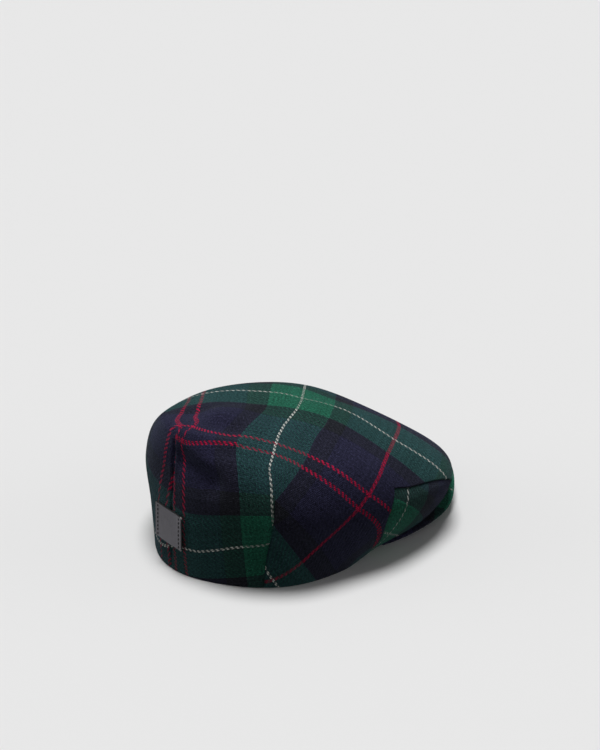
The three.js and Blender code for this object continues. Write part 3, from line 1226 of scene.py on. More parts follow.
@dataclass(frozen=True)
class TartanFinish:
    """Wool in a two-over-two twill, with the same run of bands in warp and weft.

    The run goes from the middle of a wide pair of red lines, over a white line, to the middle of a
    broad red line, and turns back there. The cloth is brushed, so that its ground colours blend,
    and only the bright lines show as separate floats.
    """

    name: str = "tartan_wool"
    run: float = 163.0
    ground: tuple[Band, ...] = (
        Band(40.5, Dye.NAVY),
        Band(55.5, Dye.BLACK),
        Band(107.5, Dye.GREEN),
        Band(122.5, Dye.BLACK),
        Band(164.0, Dye.NAVY),
    )
    lines: tuple[Band, ...] = (
        Band(4.0, Dye.NONE),
        Band(7.0, Dye.RED, 0.05),
        Band(80.5, Dye.NONE),
        Band(82.5, Dye.WHITE, 0.1),
        Band(161.0, Dye.NONE),
        Band(164.0, Dye.RED, 0.4),
    )
    warp_pitch: float = 0.985
    weft_pitch: float = 1.075
    waver: float = 0.8
    warp_waver: Noise = Noise(90.0, 1.0)
    weft_waver: Noise = Noise(70.0, 1.0)
    fibre_noise: Noise = Noise(600.0, 4.0, 0.8)
    cloud_noise: Noise = Noise(30.0, 4.0, 0.6)
    clouding: float = 0.4
    swell: float = 0.45
    weft_tones: float = 711.0
    warp_share: float = 0.38
    ground_contrast: float = 0.45
    fibre_blend: float = 0.6
    darkening: float = 0.7
    yarn_contrast: float = 0.45
    # Share of the colour taken away as painted shade in the gaps between floats.
    gap_shade: float = 0.65
    fibre_contrast: float = 2.1
    line_wear: float = 0.45
    veil: float = 0.45
    roughness: float = 0.95
    sheen: float = 0.12
    sheen_roughness: float = 0.35
    sheen_tint: Colour = (0.62, 0.80, 1.0)
    specular: float = 0.05
    bar_rise: float = 0.75
    fibre_rise: float = 0.5
    relief: float = 0.0004

    def _stops(self, bands: Sequence[Band], value: Callable[[Band], Colour]) -> Stops:
        """Ramp stops of a run of bands: each band's start, and what the band gives there."""
        starts = [0.0, *(band.end for band in bands[:-1])]
        return [(start / self.run, value(band)) for start, band in zip(starts, bands)]

    def _yarns(self, s: Shader, place: Value) -> tuple[Value, Value, Value, Value, Value]:
        """Reads one system of threads.

        Args:
            s: The shader.
            place: Thread coordinate in yarns, from the middle of a wide red pair.

        Returns:
            The yarn's number, its ground dye, its line dye, how much the line shows where the yarn
            lies on top, and how much where it lies underneath.
        """
        yarn = (place + 0.5).floor()
        along = yarn.fold(self.run) / self.run
        ground = s.ramp(along, self._stops(self.ground, lambda band: band.dye.value), "CONSTANT")
        line = s.ramp(along, self._stops(self.lines, lambda band: band.dye.value), "CONSTANT")
        shows = self._stops(self.lines, lambda band: (float(band.dye is not Dye.NONE),) * 3)
        under = self._stops(self.lines, lambda band: (band.cover,) * 3)
        return yarn, ground, line, s.ramp(along, shows, "CONSTANT"), s.ramp(along, under, "CONSTANT")

    def _unveiled(self, s: Shader, crossing: Value) -> Value:
        """How much of a bright line shows past the yarns that cross it, as green ones are the fluffiest."""
        green = s.value(s.node("ShaderNodeSeparateColor", None, {0: crossing}), 1)
        return 1.0 - green * (self.veil / Dye.GREEN.value[1])

    def _bar(self, across: Value, along: Value) -> Value:
        """Height of a rounded float: a parabola across the yarn times a sine wave along it."""
        return (1.0 - across * across) * (1.0 - self.swell + self.swell * along.sine())

    def build(self) -> bpy.types.Material:
        """Makes the wool's material.

        A warp yarn lies on top where its number plus the weft yarn's leaves 0 or 1 when divided by
        4, and a weft yarn where it leaves 2 or 3. Each float is a rounded bar over two yarns, which
        raises the bump and darkens the colour as painted shade in the gaps between floats.

        Returns:
            The material.
        """
        s = Shader(self.name)
        vector, warp_mm, weft_mm = s.cloth_place()
        half = self.run / 2.0
        warp = warp_mm / self.warp_pitch + half + (s.noise(vector, self.warp_waver) - 0.5) * self.waver
        weft = half - weft_mm / self.weft_pitch + (s.noise(vector, self.weft_waver) - 0.5) * self.waver
        warp_yarn, warp_ground, warp_line, warp_top, warp_under = self._yarns(s, warp)
        weft_yarn, weft_ground, weft_line, weft_top, weft_under = self._yarns(s, weft)
        warp_on_top = ((warp_yarn + weft_yarn) % 4.0) < 1.5
        warp_along = ((weft + warp_yarn + 0.5) % 4.0) * (math.pi / 2.0)
        weft_along = ((warp + weft_yarn - 1.5) % 4.0) * (math.pi / 2.0)
        warp_bar = self._bar(2.0 * (warp - warp_yarn), warp_along)
        weft_bar = self._bar(2.0 * (weft - weft_yarn), weft_along)
        bar = weft_bar + (warp_bar - weft_bar) * warp_on_top
        tone = s.one_random(weft_yarn + self.weft_tones)
        tone = tone + (s.one_random(warp_yarn) - tone) * warp_on_top
        fibres = s.noise(vector, self.fibre_noise)
        cloudy = s.noise(vector, self.cloud_noise)
        blend = self.warp_share + self.ground_contrast * (warp_on_top - 0.5)
        blend = blend + (fibres - 0.5) * self.fibre_blend
        dye = s.mix(blend, weft_ground, warp_ground)
        product = s.mix(1.0, weft_ground, warp_ground, "MULTIPLY")
        deep = s.value(s.node("ShaderNodeGamma", None, {"Color": product, "Gamma": 0.5}))
        dye = s.mix(self.darkening, dye, deep)
        worn = 1.0 - self.line_wear + self.line_wear * 2.0 * fibres
        warp_cover = (warp_under + (warp_top - warp_under) * warp_on_top) * self._unveiled(s, weft_ground)
        weft_cover = (weft_top + (weft_under - weft_top) * warp_on_top) * self._unveiled(s, warp_ground)
        dye = s.mix(warp_cover * worn, dye, warp_line)
        dye = s.mix(weft_cover * worn, dye, weft_line)
        # Painted shade in the gaps between floats, times the yarns' own random tones, fibres and clouds.
        light = 1.0 - self.gap_shade + self.gap_shade * bar
        light = light * (1.0 + (tone - 0.5) * self.yarn_contrast)
        light = light * (1.0 + (fibres - 0.5) * (2.0 * self.fibre_contrast))
        light = light * (1.0 - self.clouding / 2.0 + self.clouding * cloudy)
        shade = s.node("ShaderNodeCombineColor", None, {0: light, 1: light, 2: light})
        lit = s.mix(1.0, dye, s.value(shade), "MULTIPLY")
        surface: Inputs = {
            "Base Color": lit,
            "Roughness": self.roughness,
            "Specular IOR Level": self.specular,
            "Sheen Weight": self.sheen,
            "Sheen Roughness": self.sheen_roughness,
            "Sheen Tint": (*self.sheen_tint, 1.0),
        }
        return s.finish(surface, bar * self.bar_rise + fibres * self.fibre_rise, self.relief)


@dataclass(frozen=True)
class PlainClothFinish:
    """Plain dark cloth on the inside, in a fine even weave."""

    name: str = "inside_cloth"
    colour: Colour = (0.012, 0.013, 0.018)
    darkest: float = 0.6
    palest: float = 1.5
    cloud_noise: Noise = Noise(60.0, 3.0)
    roughness: float = 0.9
    sheen: float = 0.15
    pitch: float = 0.6
    relief: float = 0.0002

    def build(self) -> bpy.types.Material:
        """Makes the material: yarns over and under in turn, from two crossed sine waves.

        Returns:
            The material.
        """
        s = Shader(self.name)
        vector, warp, weft = s.cloth_place()
        turn = math.pi / self.pitch
        weave = ((warp * turn).sine() * (weft * turn).sine() + 1.0) / 2.0
        share = weave * 0.5 + s.noise(vector, self.cloud_noise) * 0.5
        tint = s.mix(share, times(self.colour, self.darkest), times(self.colour, self.palest))
        surface: Inputs = {"Base Color": tint, "Roughness": self.roughness, "Sheen Weight": self.sheen}
        return s.finish(surface, weave, self.relief)


@dataclass(frozen=True)
class LeatherFinish:
    """Smooth dark grey leather with a fine grain, inked along its edge and rubbed at two corners.

    The two corners are those on the wearer's right.
    """

    name: str = "patch_leather"
    colour: Colour = (0.085, 0.081, 0.096)
    light: Colour = (0.235, 0.228, 0.258)
    inked: Colour = (0.010, 0.010, 0.012)
    rubbed: Colour = (0.34, 0.33, 0.32)
    cloud_noise: Noise = Noise(130.0, 4.0, 0.6)
    scuff_noise: Noise = Noise(700.0, 3.0, 0.7)
    clouding: float = 0.7
    scuffing: float = 0.4
    depth_of_dye: float = 0.1
    low_right_slope: float = 0.15
    ink_width: float = 1.1
    ink_waver: float = 0.8
    ink_ends: tuple[float, float] = (0.35, 1.0)
    rub_reach: float = 2.6
    rub_waver: float = 1.2
    rub_ends: tuple[float, float] = (0.3, 0.9)
    roughness: float = 0.52
    roughness_swing: float = 0.25
    specular: float = 0.35
    grain: float = 2600.0
    grain_rise: float = 0.6
    scuff_rise: float = 0.4
    relief: float = 0.00012
    relief_share: float = 0.6

    def build(self, width: float, height: float) -> bpy.types.Material:
        """Makes the material: small rounded cells for the grain and soft clouds for the dye.

        The ink fades over its width from the nearest edge. A corner is rubbed where the way from
        the side plus the way from the end is short. The colour grows paler towards the low right.

        Args:
            width: The plate's width in millimetres.
            height: Its height in millimetres.

        Returns:
            The material.
        """
        s = Shader(self.name)
        place = s.object_place()
        _, across, up = s.cloth_place()
        from_side = width / 2.0 - s.math("ABSOLUTE", across)
        from_end = height / 2.0 - s.math("ABSOLUTE", up - height / 2.0)
        settings = {"feature": "SMOOTH_F1"}
        cell = s.value(s.node("ShaderNodeTexVoronoi", settings, {"Vector": place, "Scale": self.grain}))
        clouds, scuffs = s.noise(place, self.cloud_noise), s.noise(place, self.scuff_noise)
        # Paler towards the low right, by a straight slope across the plate.
        paler_low_right = (across / width - up / height + 0.5) * self.low_right_slope
        blotches = clouds * self.clouding + scuffs * self.scuffing - self.depth_of_dye
        tint = s.mix(blotches + paler_low_right, self.colour, self.light)
        edge = s.math("MINIMUM", from_side, from_end) / self.ink_width + (scuffs - 0.5) * self.ink_waver
        tint = s.mix(s.falling(edge, self.ink_ends), tint, self.inked)
        corner = (width / 2.0 - across + from_end) / self.rub_reach + (scuffs - 0.5) * self.rub_waver
        tint = s.mix(s.falling(corner, self.rub_ends), tint, self.rubbed)
        surface: Inputs = {
            "Base Color": tint,
            "Roughness": self.roughness + (clouds - 0.5) * self.roughness_swing,
            "Specular IOR Level": self.specular,
        }
        height_map = cell * self.grain_rise + scuffs * self.scuff_rise
        return s.finish(surface, height_map, self.relief, self.relief_share)


@dataclass(frozen=True)
class ThreadFinish:
    """Black sewing thread with a twist."""

    name: str = "sewing_thread"
    colour: Colour = (0.006, 0.006, 0.007)
    palest: float = 4.0
    ply_noise: Noise = Noise(3000.0)
    roughness: float = 0.6
    relief: float = 0.0001

    def build(self) -> bpy.types.Material:
        """Makes the material, with fine noise for the plies.

        Returns:
            The material.
        """
        s = Shader(self.name)
        plies = s.noise(s.object_place(), self.ply_noise)
        tint = s.mix(plies, self.colour, times(self.colour, self.palest))
        return s.finish({"Base Color": tint, "Roughness": self.roughness}, plies, self.relief)


@dataclass(frozen=True)
class FloorFinish:
    """Plain pale floor."""

    name: str = "pale_floor"
    colour: Colour = (0.785, 0.785, 0.785)
    roughness: float = 0.9

    def build(self) -> bpy.types.Material:
        """Makes the material, matt and even."""
        surface: Inputs = {"Base Color": (*self.colour, 1.0), "Roughness": self.roughness}
        return Shader(self.name).finish({**surface, "Specular IOR Level": 0.0})


# ---------------------------------------------------------------------------------------------
# The cap's pieces
# ---------------------------------------------------------------------------------------------


def settle(piece: bpy.types.Object, slot: str, *nodes: str) -> bpy.types.Object:
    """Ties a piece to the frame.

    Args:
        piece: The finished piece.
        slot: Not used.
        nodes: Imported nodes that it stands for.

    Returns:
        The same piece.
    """
    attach(piece, BODY)
    if nodes:
        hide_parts(*nodes)
    LOG.info("%s: %d faces", piece.name, len(piece.data.polygons))
    return piece


@dataclass
class Crown:
    """The crown's shell: cloth outside, a plain inside, and round edges at the rim and seams."""

    form: CapForm
    lay: ClothLay
    edge_steps: tuple[float, ...] = (0.0, 0.12, 0.4, 0.8, 1.25, 1.9, 3.0)
    low_top: float = 100.0
    low_rows: int = 34
    high_rows: int = 64
    inner_low_rows: int = 10
    inner_high_rows: int = 18
    half_columns: int = 250
    seam_lift: float = 0.7
    seam_lift_width: float = 6.0
    lift_starts: tuple[float, float] = (4.0, 20.0)

    def _columns(self) -> Array:
        """Columns all round, closer together at the seams, with one exactly on each seam.

        Returns:
            The columns, from 0 to 360.
        """
        form = self.form
        crowds = (
            Crowd(form.seam_columns[0], 2.5, 1.0),
            Crowd(sum(form.seam_columns[-2:]) / 2.0, 1.4, 9.0),
            Crowd(form.seam_angle, 2.5, 1.6),
            Crowd(HALF_TURN, 3.5, 1.6),
        )
        half = spread(0.0, HALF_TURN, self.half_columns, crowds)
        for at in (form.seam_angle, *form.seam_columns[-2:]):
            half[np.abs(half - at).argmin()] = at
        return np.concatenate([half, FULL_TURN - half[-2:0:-1], [FULL_TURN]])

    def _arcs(self, column: Array, low_rows: int, high_rows: int) -> Array:
        """Arcs of a grid's rows: close steps at the edge, then even ones to the apex.

        Args:
            column: The grid's columns.
            low_rows: Rows from the edge to the level above the seams.
            high_rows: Rows from there to the last one before the apex.

        Returns:
            Arcs, rows by columns.
        """
        edge = self.form.seam_arc(column)[None]
        steps = np.asarray(self.edge_steps)[:, None]
        start = edge + self.edge_steps[-1]
        low = start + (self.low_top - start) * np.linspace(0.0, 1.0, low_rows + 1)[1:, None]
        rest = self.form.length_at(column)[None] - self.low_top
        high = self.low_top + rest * np.linspace(0.0, 1.0, high_rows + 1)[1:-1, None]
        return np.concatenate([edge + steps, low, high], axis=0)

    def _surface(self, column: Array, arc: Array, side: float) -> Array:
        """Points on the outside (side 1) or inside (side -1) of the cloth.

        Each side stands off the middle by half the thickness, which rounds off to nothing at the edge.

        Args:
            column: Columns of the places.
            arc: Their arcs.
            side: Which side of the cloth.

        Returns:
            Points in millimetres, with x, y and z last.
        """
        form = self.form
        angle = form.angle_at(column, arc)
        turn = from_front(column)
        seam = form.seam_distance(column, arc)
        in_gusset = (turn > form.seam_columns[0]) & (turn < form.seam_columns[-1])
        distance = np.minimum(seam, np.where(in_gusset, seam, arc))
        thickness = form.half_wall(np.where(np.isclose(arc, form.seam_arc(column)), 0.0, distance))
        lift = self.seam_lift * bell(seam, self.seam_lift_width) * smooth_step(arc, *self.lift_starts)
        height = form.fold_height(column, angle, arc) + lift
        return form.sheet_point(angle, arc, height, side * thickness)

    def build(self, tartan: bpy.types.Material, inside: bpy.types.Material) -> bpy.types.Object:
        """Makes the crown: a grid that goes all round, and a fan of triangles at the apex.

        Args:
            tartan: Finish of the outside.
            inside: Finish of the inside.

        Returns:
            The piece.
        """
        maker, form = MeshMaker(), self.form
        column = self._columns()
        arc = self._arcs(column, self.low_rows, self.high_rows)
        wide = np.broadcast_to(column, arc.shape)
        outer = self._surface(wide, arc, 1.0)
        ids = closed(maker.add_points(outer[:, :-1]))
        later, earlier = self.lay.place(wide, arc, True), self.lay.place(wide, arc, False)
        maker.add_faces(cells(ids), cells(later, earlier), 0)
        apex = np.array([0.0, form.axis_y, form.apex_up])
        tip = maker.add_points(apex[None])[0]
        tip_place = self.lay.place(column, form.length_at(column), True)
        fan_place = np.stack([later[-1, :-1], tip_place[:-1], earlier[-1, 1:]], axis=1)
        maker.add_faces(fan(ids[-1], tip), fan_place, 0)
        self._add_inside(maker, column, ids[0], apex)
        piece = maker.finish("crown_cloth", (tartan, inside))
        return settle(piece, "tartan", "crown")

    def _add_inside(self, maker: MeshMaker, column: Array, edge: Array, apex: Array) -> None:
        """Adds the inside of the cloth, which shares the edge's points with the outside.

        Args:
            maker: The mesh in the making.
            column: The outer grid's columns.
            edge: Point numbers along the edge.
            apex: The apex on the outside.
        """
        arc = self._arcs(column, self.inner_low_rows, self.inner_high_rows)
        wide = np.broadcast_to(column, arc.shape)
        inner = self._surface(wide, arc, -1.0)
        ids = np.concatenate([edge[None], closed(maker.add_points(inner[1:, :-1]))], axis=0)
        place = np.stack([wide * math.radians(self.form.fold_radius), arc], axis=-1)
        maker.add_faces(cells(ids), cells(place), 1, flip=True)
        tip = maker.add_points((apex - [0.0, 0.0, self.form.wall])[None])[0]
        maker.add_faces(fan(ids[-1], tip), None, 1, flip=True)


@dataclass(frozen=True)
class ClothCut:
    """How a small panel was cut: where its white lines cross on the crown's cloth, and their turns.

    The panel lies on the bias and is pulled a little out of square, so its two lines have a turn each.
    """

    warp: float
    weft: float
    warp_turn: float
    weft_turn: float

    def place(self, threads: Array) -> Array:
        """Thread coordinates in the panel's own cloth: moved to the crossing, then turned.

        Args:
            threads: Warp and weft places on the crown's cloth, last.

        Returns:
            Warp and weft places on the panel's cloth.
        """
        a, b = threads[..., 0] - self.warp, threads[..., 1] - self.weft
        first, second = math.radians(self.warp_turn), math.radians(self.weft_turn)
        own_warp = a * math.cos(first) - b * math.sin(first)
        own_weft = a * math.sin(second) + b * math.cos(second)
        return np.stack([own_warp, own_weft], axis=-1)


class Side(Enum):
    """Which side of the cap, as its sign on the wearer's right."""

    RIGHT = 1
    LEFT = -1


@dataclass
class Gusset:
    """The triangle of cloth let in at a front corner, below the crown's seam."""

    form: CapForm
    lay: ClothLay
    side: Side
    cut: ClothCut = ClothCut(134, 75, 50, 30)
    gap: float = 0.3
    front_gap: float = 0.5
    rear_gap: float = 0.12
    least_height: float = 0.3
    columns: int = 90
    rows: int = 40
    sink: float = 0.2
    sink_width: float = 7.0
    sink_starts: tuple[float, float] = (2.0, 16.0)
    turned_in: float = 3.5
    turned_thick: float = 0.4
    turned_depth: float = 3.6
    turned_end: float = 1.0
    turned_least_arc: float = 1.5
    turned_sides: int = 12

    def _grid(self) -> tuple[Array, Array]:
        """The gusset's grid, with its lines close together at the edges.

        Returns:
            Columns and arcs.
        """
        form = self.form
        first, last = form.seam_columns[0] + self.front_gap, form.seam_columns[-1] - self.rear_gap
        column = spread(first, last, self.columns, (Crowd(first, 1.2, 3.0), Crowd(last, 1.6, 6.0)))
        share = spread(0.0, 1.0, self.rows, (Crowd(0.0, 0.03, 7.0), Crowd(1.0, 0.03, 7.0)))[:, None]
        top = np.maximum(form.seam_arc(column) - self.gap, self.least_height)
        return np.broadcast_to(column, (self.rows + 1, len(column))), share * top[None]

    def _surface(self, column: Array, arc: Array, side: float) -> Array:
        """Points on the outside (side 1) or inside (side -1) of the gusset.

        Args:
            column: Columns of the places.
            arc: Their arcs.
            side: Which side of the cloth.

        Returns:
            Points in millimetres, with x, y and z last.
        """
        form, per_degree = self.form, math.radians(self.form.seam_radius)
        angle = form.angle_at(column, arc)
        seam = np.maximum(form.seam_distance(column, arc) - self.gap, 0.0)
        ends = np.minimum(column - column[:, :1], column[:, -1:] - column) * per_degree
        distance = np.minimum(np.minimum(seam, arc), ends)
        distance[0], distance[-1] = 0.0, 0.0
        sink = self.sink * bell(seam, self.sink_width) * smooth_step(arc, *self.sink_starts)
        height = form.fold_height(column, angle, arc) - sink
        return form.sheet_point(angle, arc, height, side * form.half_wall(distance))

    def _add_turned_in(self, maker: MeshMaker, mirror: Array) -> None:
        """Adds the cloth turned in along the seam, a flat band behind it on the inside.

        The band's section is a flat ellipse, carried along the seam at an even depth. It starts a
        little way up the seam, so as to stay clear of the peak.

        Args:
            maker: The mesh in the making.
            mirror: Factors of x, y and z.
        """
        form, per_degree = self.form, math.radians(self.form.seam_radius)
        columns, arcs = form.seam_line()
        line = np.stack([columns * per_degree, arcs], axis=-1)
        run = np.concatenate([[0.0], np.cumsum(np.linalg.norm(np.diff(line, axis=0), axis=1))])
        wanted = np.linspace(2.0 * self.turned_in, run[-1] - self.turned_end, self.columns + 1)
        line = np.stack([np.interp(wanted, run, line[:, k]) for k in (0, 1)], axis=-1)
        along = np.gradient(line, axis=0)
        along = along / np.linalg.norm(along, axis=1, keepdims=True)
        sideways = np.stack([-along[:, 1], along[:, 0]], axis=-1)
        spin = np.linspace(0.0, 2.0 * math.pi, self.turned_sides + 1)[:-1]
        place = line[:, None] + sideways[:, None] * (self.turned_in * np.cos(spin))[:, None]
        column, arc = place[..., 0] / per_degree, np.maximum(place[..., 1], self.turned_least_arc)
        depth = (self.turned_depth + self.turned_thick * np.sin(spin))[None]
        ids = maker.add_points(form.raised_point(form.angle_at(column, arc), arc, -depth) * mirror)
        left = self.side is Side.LEFT
        maker.add_faces(cells(closed(ids)), cells(closed(place)), 1, flip=not left)
        maker.add_faces(np.stack([ids[0, ::-1], ids[-1]]), None, 1, flip=left)

    def build(self, tartan: bpy.types.Material, inside: bpy.types.Material) -> bpy.types.Object:
        """Makes the gusset, mirrored for the wearer's left.

        Args:
            tartan: Finish of the outside.
            inside: Finish of the inside.

        Returns:
            The piece.
        """
        maker, left = MeshMaker(), self.side is Side.LEFT
        column, arc = self._grid()
        mirror = np.array([self.side.value, 1.0, 1.0])
        threads = self.cut.place(self.lay.place(column, arc, False, eased=False))
        if left:
            threads = -threads[..., ::-1]
        outer, inner = (self._surface(column, arc, side) * mirror for side in (1.0, -1.0))
        maker.add_plate(outer, inner, threads, 1, flip=left)
        self._add_turned_in(maker, mirror)
        name = f"gusset_{self.side.name.lower()}"
        piece = maker.finish(f"{name}_cloth", (tartan, inside))
        return settle(piece, "tartan", name)


@dataclass
class Peak:
    """The stiff peak, covered in the same cloth: an arched plate with a round edge."""

    form: CapForm
    overhang: float = 6.0
    shows_to: float = 52.0
    end: float = 56.0
    thickness: float = 3.0
    rise: float = 7.0
    head_half_width: float = 84.0
    head_front: float = 104.0
    gap: float = 0.3
    columns: int = 150
    rows: int = 50
    side_reach: float = 3.5
    side_angle: float = 29.0
    side_width: float = 9.0
    seat_walls: float = 1.2
    arch_turns: float = 1.5
    end_radius: float = 100.0
    line_across: float = -129.0
    line_ahead: float = 30.5

    def _surface(self, angle: Array, along: Array, side: float) -> Array:
        """Points on the top (side 1) or underside (side -1) of the peak.

        It runs straight out from the head opening's ellipse to the edge, past the crown's rim by
        the overhang times 1 less the fourth power of angle / shows_to, and arches up at its root.

        Args:
            angle: Angles of the places.
            along: Share of the way from the root to the edge.
            side: Which side of the plate.

        Returns:
            Points in millimetres, with x, y and z last.
        """
        form, radius = self.form, self.thickness / 2.0
        turn = np.radians(angle)
        across, ahead = self.head_half_width * np.cos(turn), self.head_front * np.sin(turn)
        root = self.head_half_width * self.head_front / np.hypot(across, ahead)
        rim = form.rim_out(angle[0])[None]
        edge = rim + self.overhang * (1.0 - (angle / self.shows_to) ** 4)
        edge = edge + self.side_reach * bell(np.abs(angle) - self.side_angle, self.side_width)
        seat = rim - self.seat_walls * form.wall
        out = root + (edge - root) * along
        rise = self.rise * np.cos(self.arch_turns * turn) * (seat - out) / (seat - root)
        up = form.rim_up(angle) - self.gap + rise - radius
        ends = (self.end - np.abs(angle)) * math.radians(self.end_radius)
        distance = np.minimum(np.minimum(edge - out, out - root), ends)
        distance[0], distance[-1] = 0.0, 0.0
        up = up + side * half_thickness(distance, radius)
        return np.stack([-out * np.sin(turn), form.axis_y - out * np.cos(turn), up], axis=-1)

    def build(self, tartan: bpy.types.Material) -> bpy.types.Object:
        """Makes the peak, with its cloth cut on the bias like the crown's.

        Args:
            tartan: Finish of both sides.

        Returns:
            The piece.
        """
        maker = MeshMaker()
        angles = np.linspace(-self.end, self.end, self.columns + 1)
        share = spread(0.0, 1.0, self.rows, (Crowd(1.0, 0.03, 8.0), Crowd(0.0, 0.02, 6.0)))
        along, angle = np.meshgrid(share, angles, indexing="ij")
        top, under = self._surface(angle, along, 1.0), self._surface(angle, along, -1.0)
        threads = bias_threads(-top[..., 1], -top[..., 0])
        threads = threads + np.array([self.line_across, self.line_ahead])
        maker.add_plate(top, under, threads, 0, flip=True)
        piece = maker.finish("peak_cloth", (tartan,))
        return settle(piece, "tartan", "peak")


@dataclass
class Patch:
    """The leather patch on the back seam: a thin plate with round corners and two rows of stitches."""

    form: CapForm
    width: float = 36.5
    height: float = 30.0
    thickness: float = 1.5
    low_arc: float = 22.0
    gap: float = 0.3
    corner: float = 1.8
    edge_share: float = 0.8
    border_inset: float = 4.6
    border_depth: float = 0.22
    border_width: float = 0.35
    row_depth: float = 0.308
    row_width: float = 0.5
    shift: float = -0.8
    stiffness: float = 0.9
    taper: float = 0.05
    lift: float = 1.2
    lift_reach: float = 9.0
    low_lift: float = 0.3
    columns: int = 56
    rows: int = 52
    crowd_width: float = 1.2
    crowding: float = 6.0
    stitch_inset: float = 3.8
    stitch_length: float = 2.5
    stitch_pitch: float = 3.5
    stitch_radius: float = 0.5
    stitch_taper: float = 0.96
    stitch_rise: float = 0.12
    stitch_sag: float = 0.42
    stitch_rings: int = 9
    stitch_sides: int = 8
    stitches: int = 8

    def _place(self, across: Array, up: Array, off: Array) -> Array:
        """Points over the cloth behind the back seam.

        Args:
            across: Way towards the wearer's right from the seam.
            up: Way up the cloth from the patch's lower edge.
            off: Height over the cloth.

        Returns:
            Points in millimetres, with x, y and z last.
        """
        form = self.form
        reach = form.sections[-1].rim_out
        drawn = 1.0 - self.taper * (1.0 - up / self.height) * (across > 0.0)
        angle = HALF_TURN - np.degrees((across * drawn + self.shift) / reach)
        arc = self.low_arc + up
        free = smooth_step(across, self.width / 2.0 - self.lift_reach, self.width / 2.0)
        free = free * (self.low_lift + (1.0 - self.low_lift) * up / self.height)
        raised = off + self.lift * free + self.stiffness * across**2 / (2.0 * reach)
        return form.raised_point(angle, arc, raised)

    def _outline(self) -> tuple[Array, Array, Array]:
        """The plate's grid, with each corner drawn in to a quarter circle.

        A square to disc mapping does that: one way times the root of 1 less half the other squared.

        Returns:
            Ways across and up, and the distance from the border.
        """
        half, radius = self.width / 2.0, self.corner
        spans = ((-half, half, self.columns), (0.0, self.height, self.rows))
        s, t = (
            spread(low, high, count, [Crowd(at, self.crowd_width, self.crowding) for at in (low, high)])
            for low, high, count in spans
        )
        up, across = np.meshgrid(t, s, indexing="ij")
        distance = np.minimum(half - np.abs(across), np.minimum(up, self.height - up))
        middle = self.height / 2.0
        x = np.maximum(np.abs(across) - (half - radius), 0.0) / radius
        y = np.maximum(np.abs(up - middle) - (middle - radius), 0.0) / radius
        x_in, y_in = x * np.sqrt(1.0 - y**2 / 2.0), y * np.sqrt(1.0 - x**2 / 2.0)
        across = across + np.sign(across) * (x_in - x) * radius
        up = up + np.sign(up - middle) * (y_in - y) * radius
        return across, up, distance

    def build(self, leather: bpy.types.Material) -> bpy.types.Object:
        """Makes the plate, with a plain pressed line inside its edge and a dent under each stitch row.

        Args:
            leather: Finish of the plate.

        Returns:
            The piece.
        """
        maker = MeshMaker()
        across, up, distance = self._outline()
        radius = self.thickness / 2.0
        middle = self.gap + radius
        thick = half_thickness(distance, radius * self.edge_share) / self.edge_share
        line = self.border_depth * bell(distance - self.border_inset, self.border_width)
        from_row = self.width / 2.0 - np.abs(across) - self.stitch_inset
        pressed = line + self.row_depth * bell(from_row, self.row_width)
        outer = self._place(across, up, middle + thick - pressed)
        inner = self._place(across, up, middle - thick)
        maker.add_plate(outer, inner, np.stack([across, up], axis=-1), 0, flip=True)
        piece = maker.finish("patch_plate", (leather,))
        return settle(piece, "patch_leather", "leather_patch")

    def build_stitches(self, thread: bpy.types.Material) -> bpy.types.Object:
        """Makes the stitches: short round bars, arched over the leather and sunk at both ends.

        Each is a tube along a parabola, and its radius follows a half ellipse, nearly to a point at
        each end. All are worked out in one array, stitch by ring by side.

        Args:
            thread: Finish of the stitches.

        Returns:
            The piece.
        """
        maker = MeshMaker()
        t = np.linspace(-1.0, 1.0, self.stitch_rings)[None, :, None]
        spin = np.linspace(0.0, 2.0 * math.pi, self.stitch_sides, endpoint=False)[None, None, :]
        start = (self.height - self.stitch_pitch * (self.stitches - 1)) / 2.0
        ups = start + self.stitch_pitch * np.arange(self.stitches)
        edge = self.width / 2.0 - self.stitch_inset
        middles = np.concatenate([ups, ups])[:, None, None]
        columns = np.repeat([-edge, edge], self.stitches)[:, None, None]
        thin = self.stitch_radius * np.sqrt(1.0 - self.stitch_taper * t**2)
        top = self.gap + self.thickness + self.stitch_rise - self.stitch_sag * t**2
        across = columns + thin * np.cos(spin)
        up = middles + self.stitch_length / 2.0 * t + 0.0 * spin
        off = top + thin * np.sin(spin) + 0.0 * middles
        ids = maker.add_points(self._place(across, up, off))
        for stitch in ids:
            maker.add_faces(cells(closed(stitch)), None, 0)
        caps = np.concatenate([ids[:, 0, :], ids[:, -1, ::-1]], axis=0)
        maker.add_faces(caps, None, 0)
        piece = maker.finish("patch_stitches", (thread,))
        return settle(piece, "patch_leather")


# ---------------------------------------------------------------------------------------------
# Studio
# ---------------------------------------------------------------------------------------------


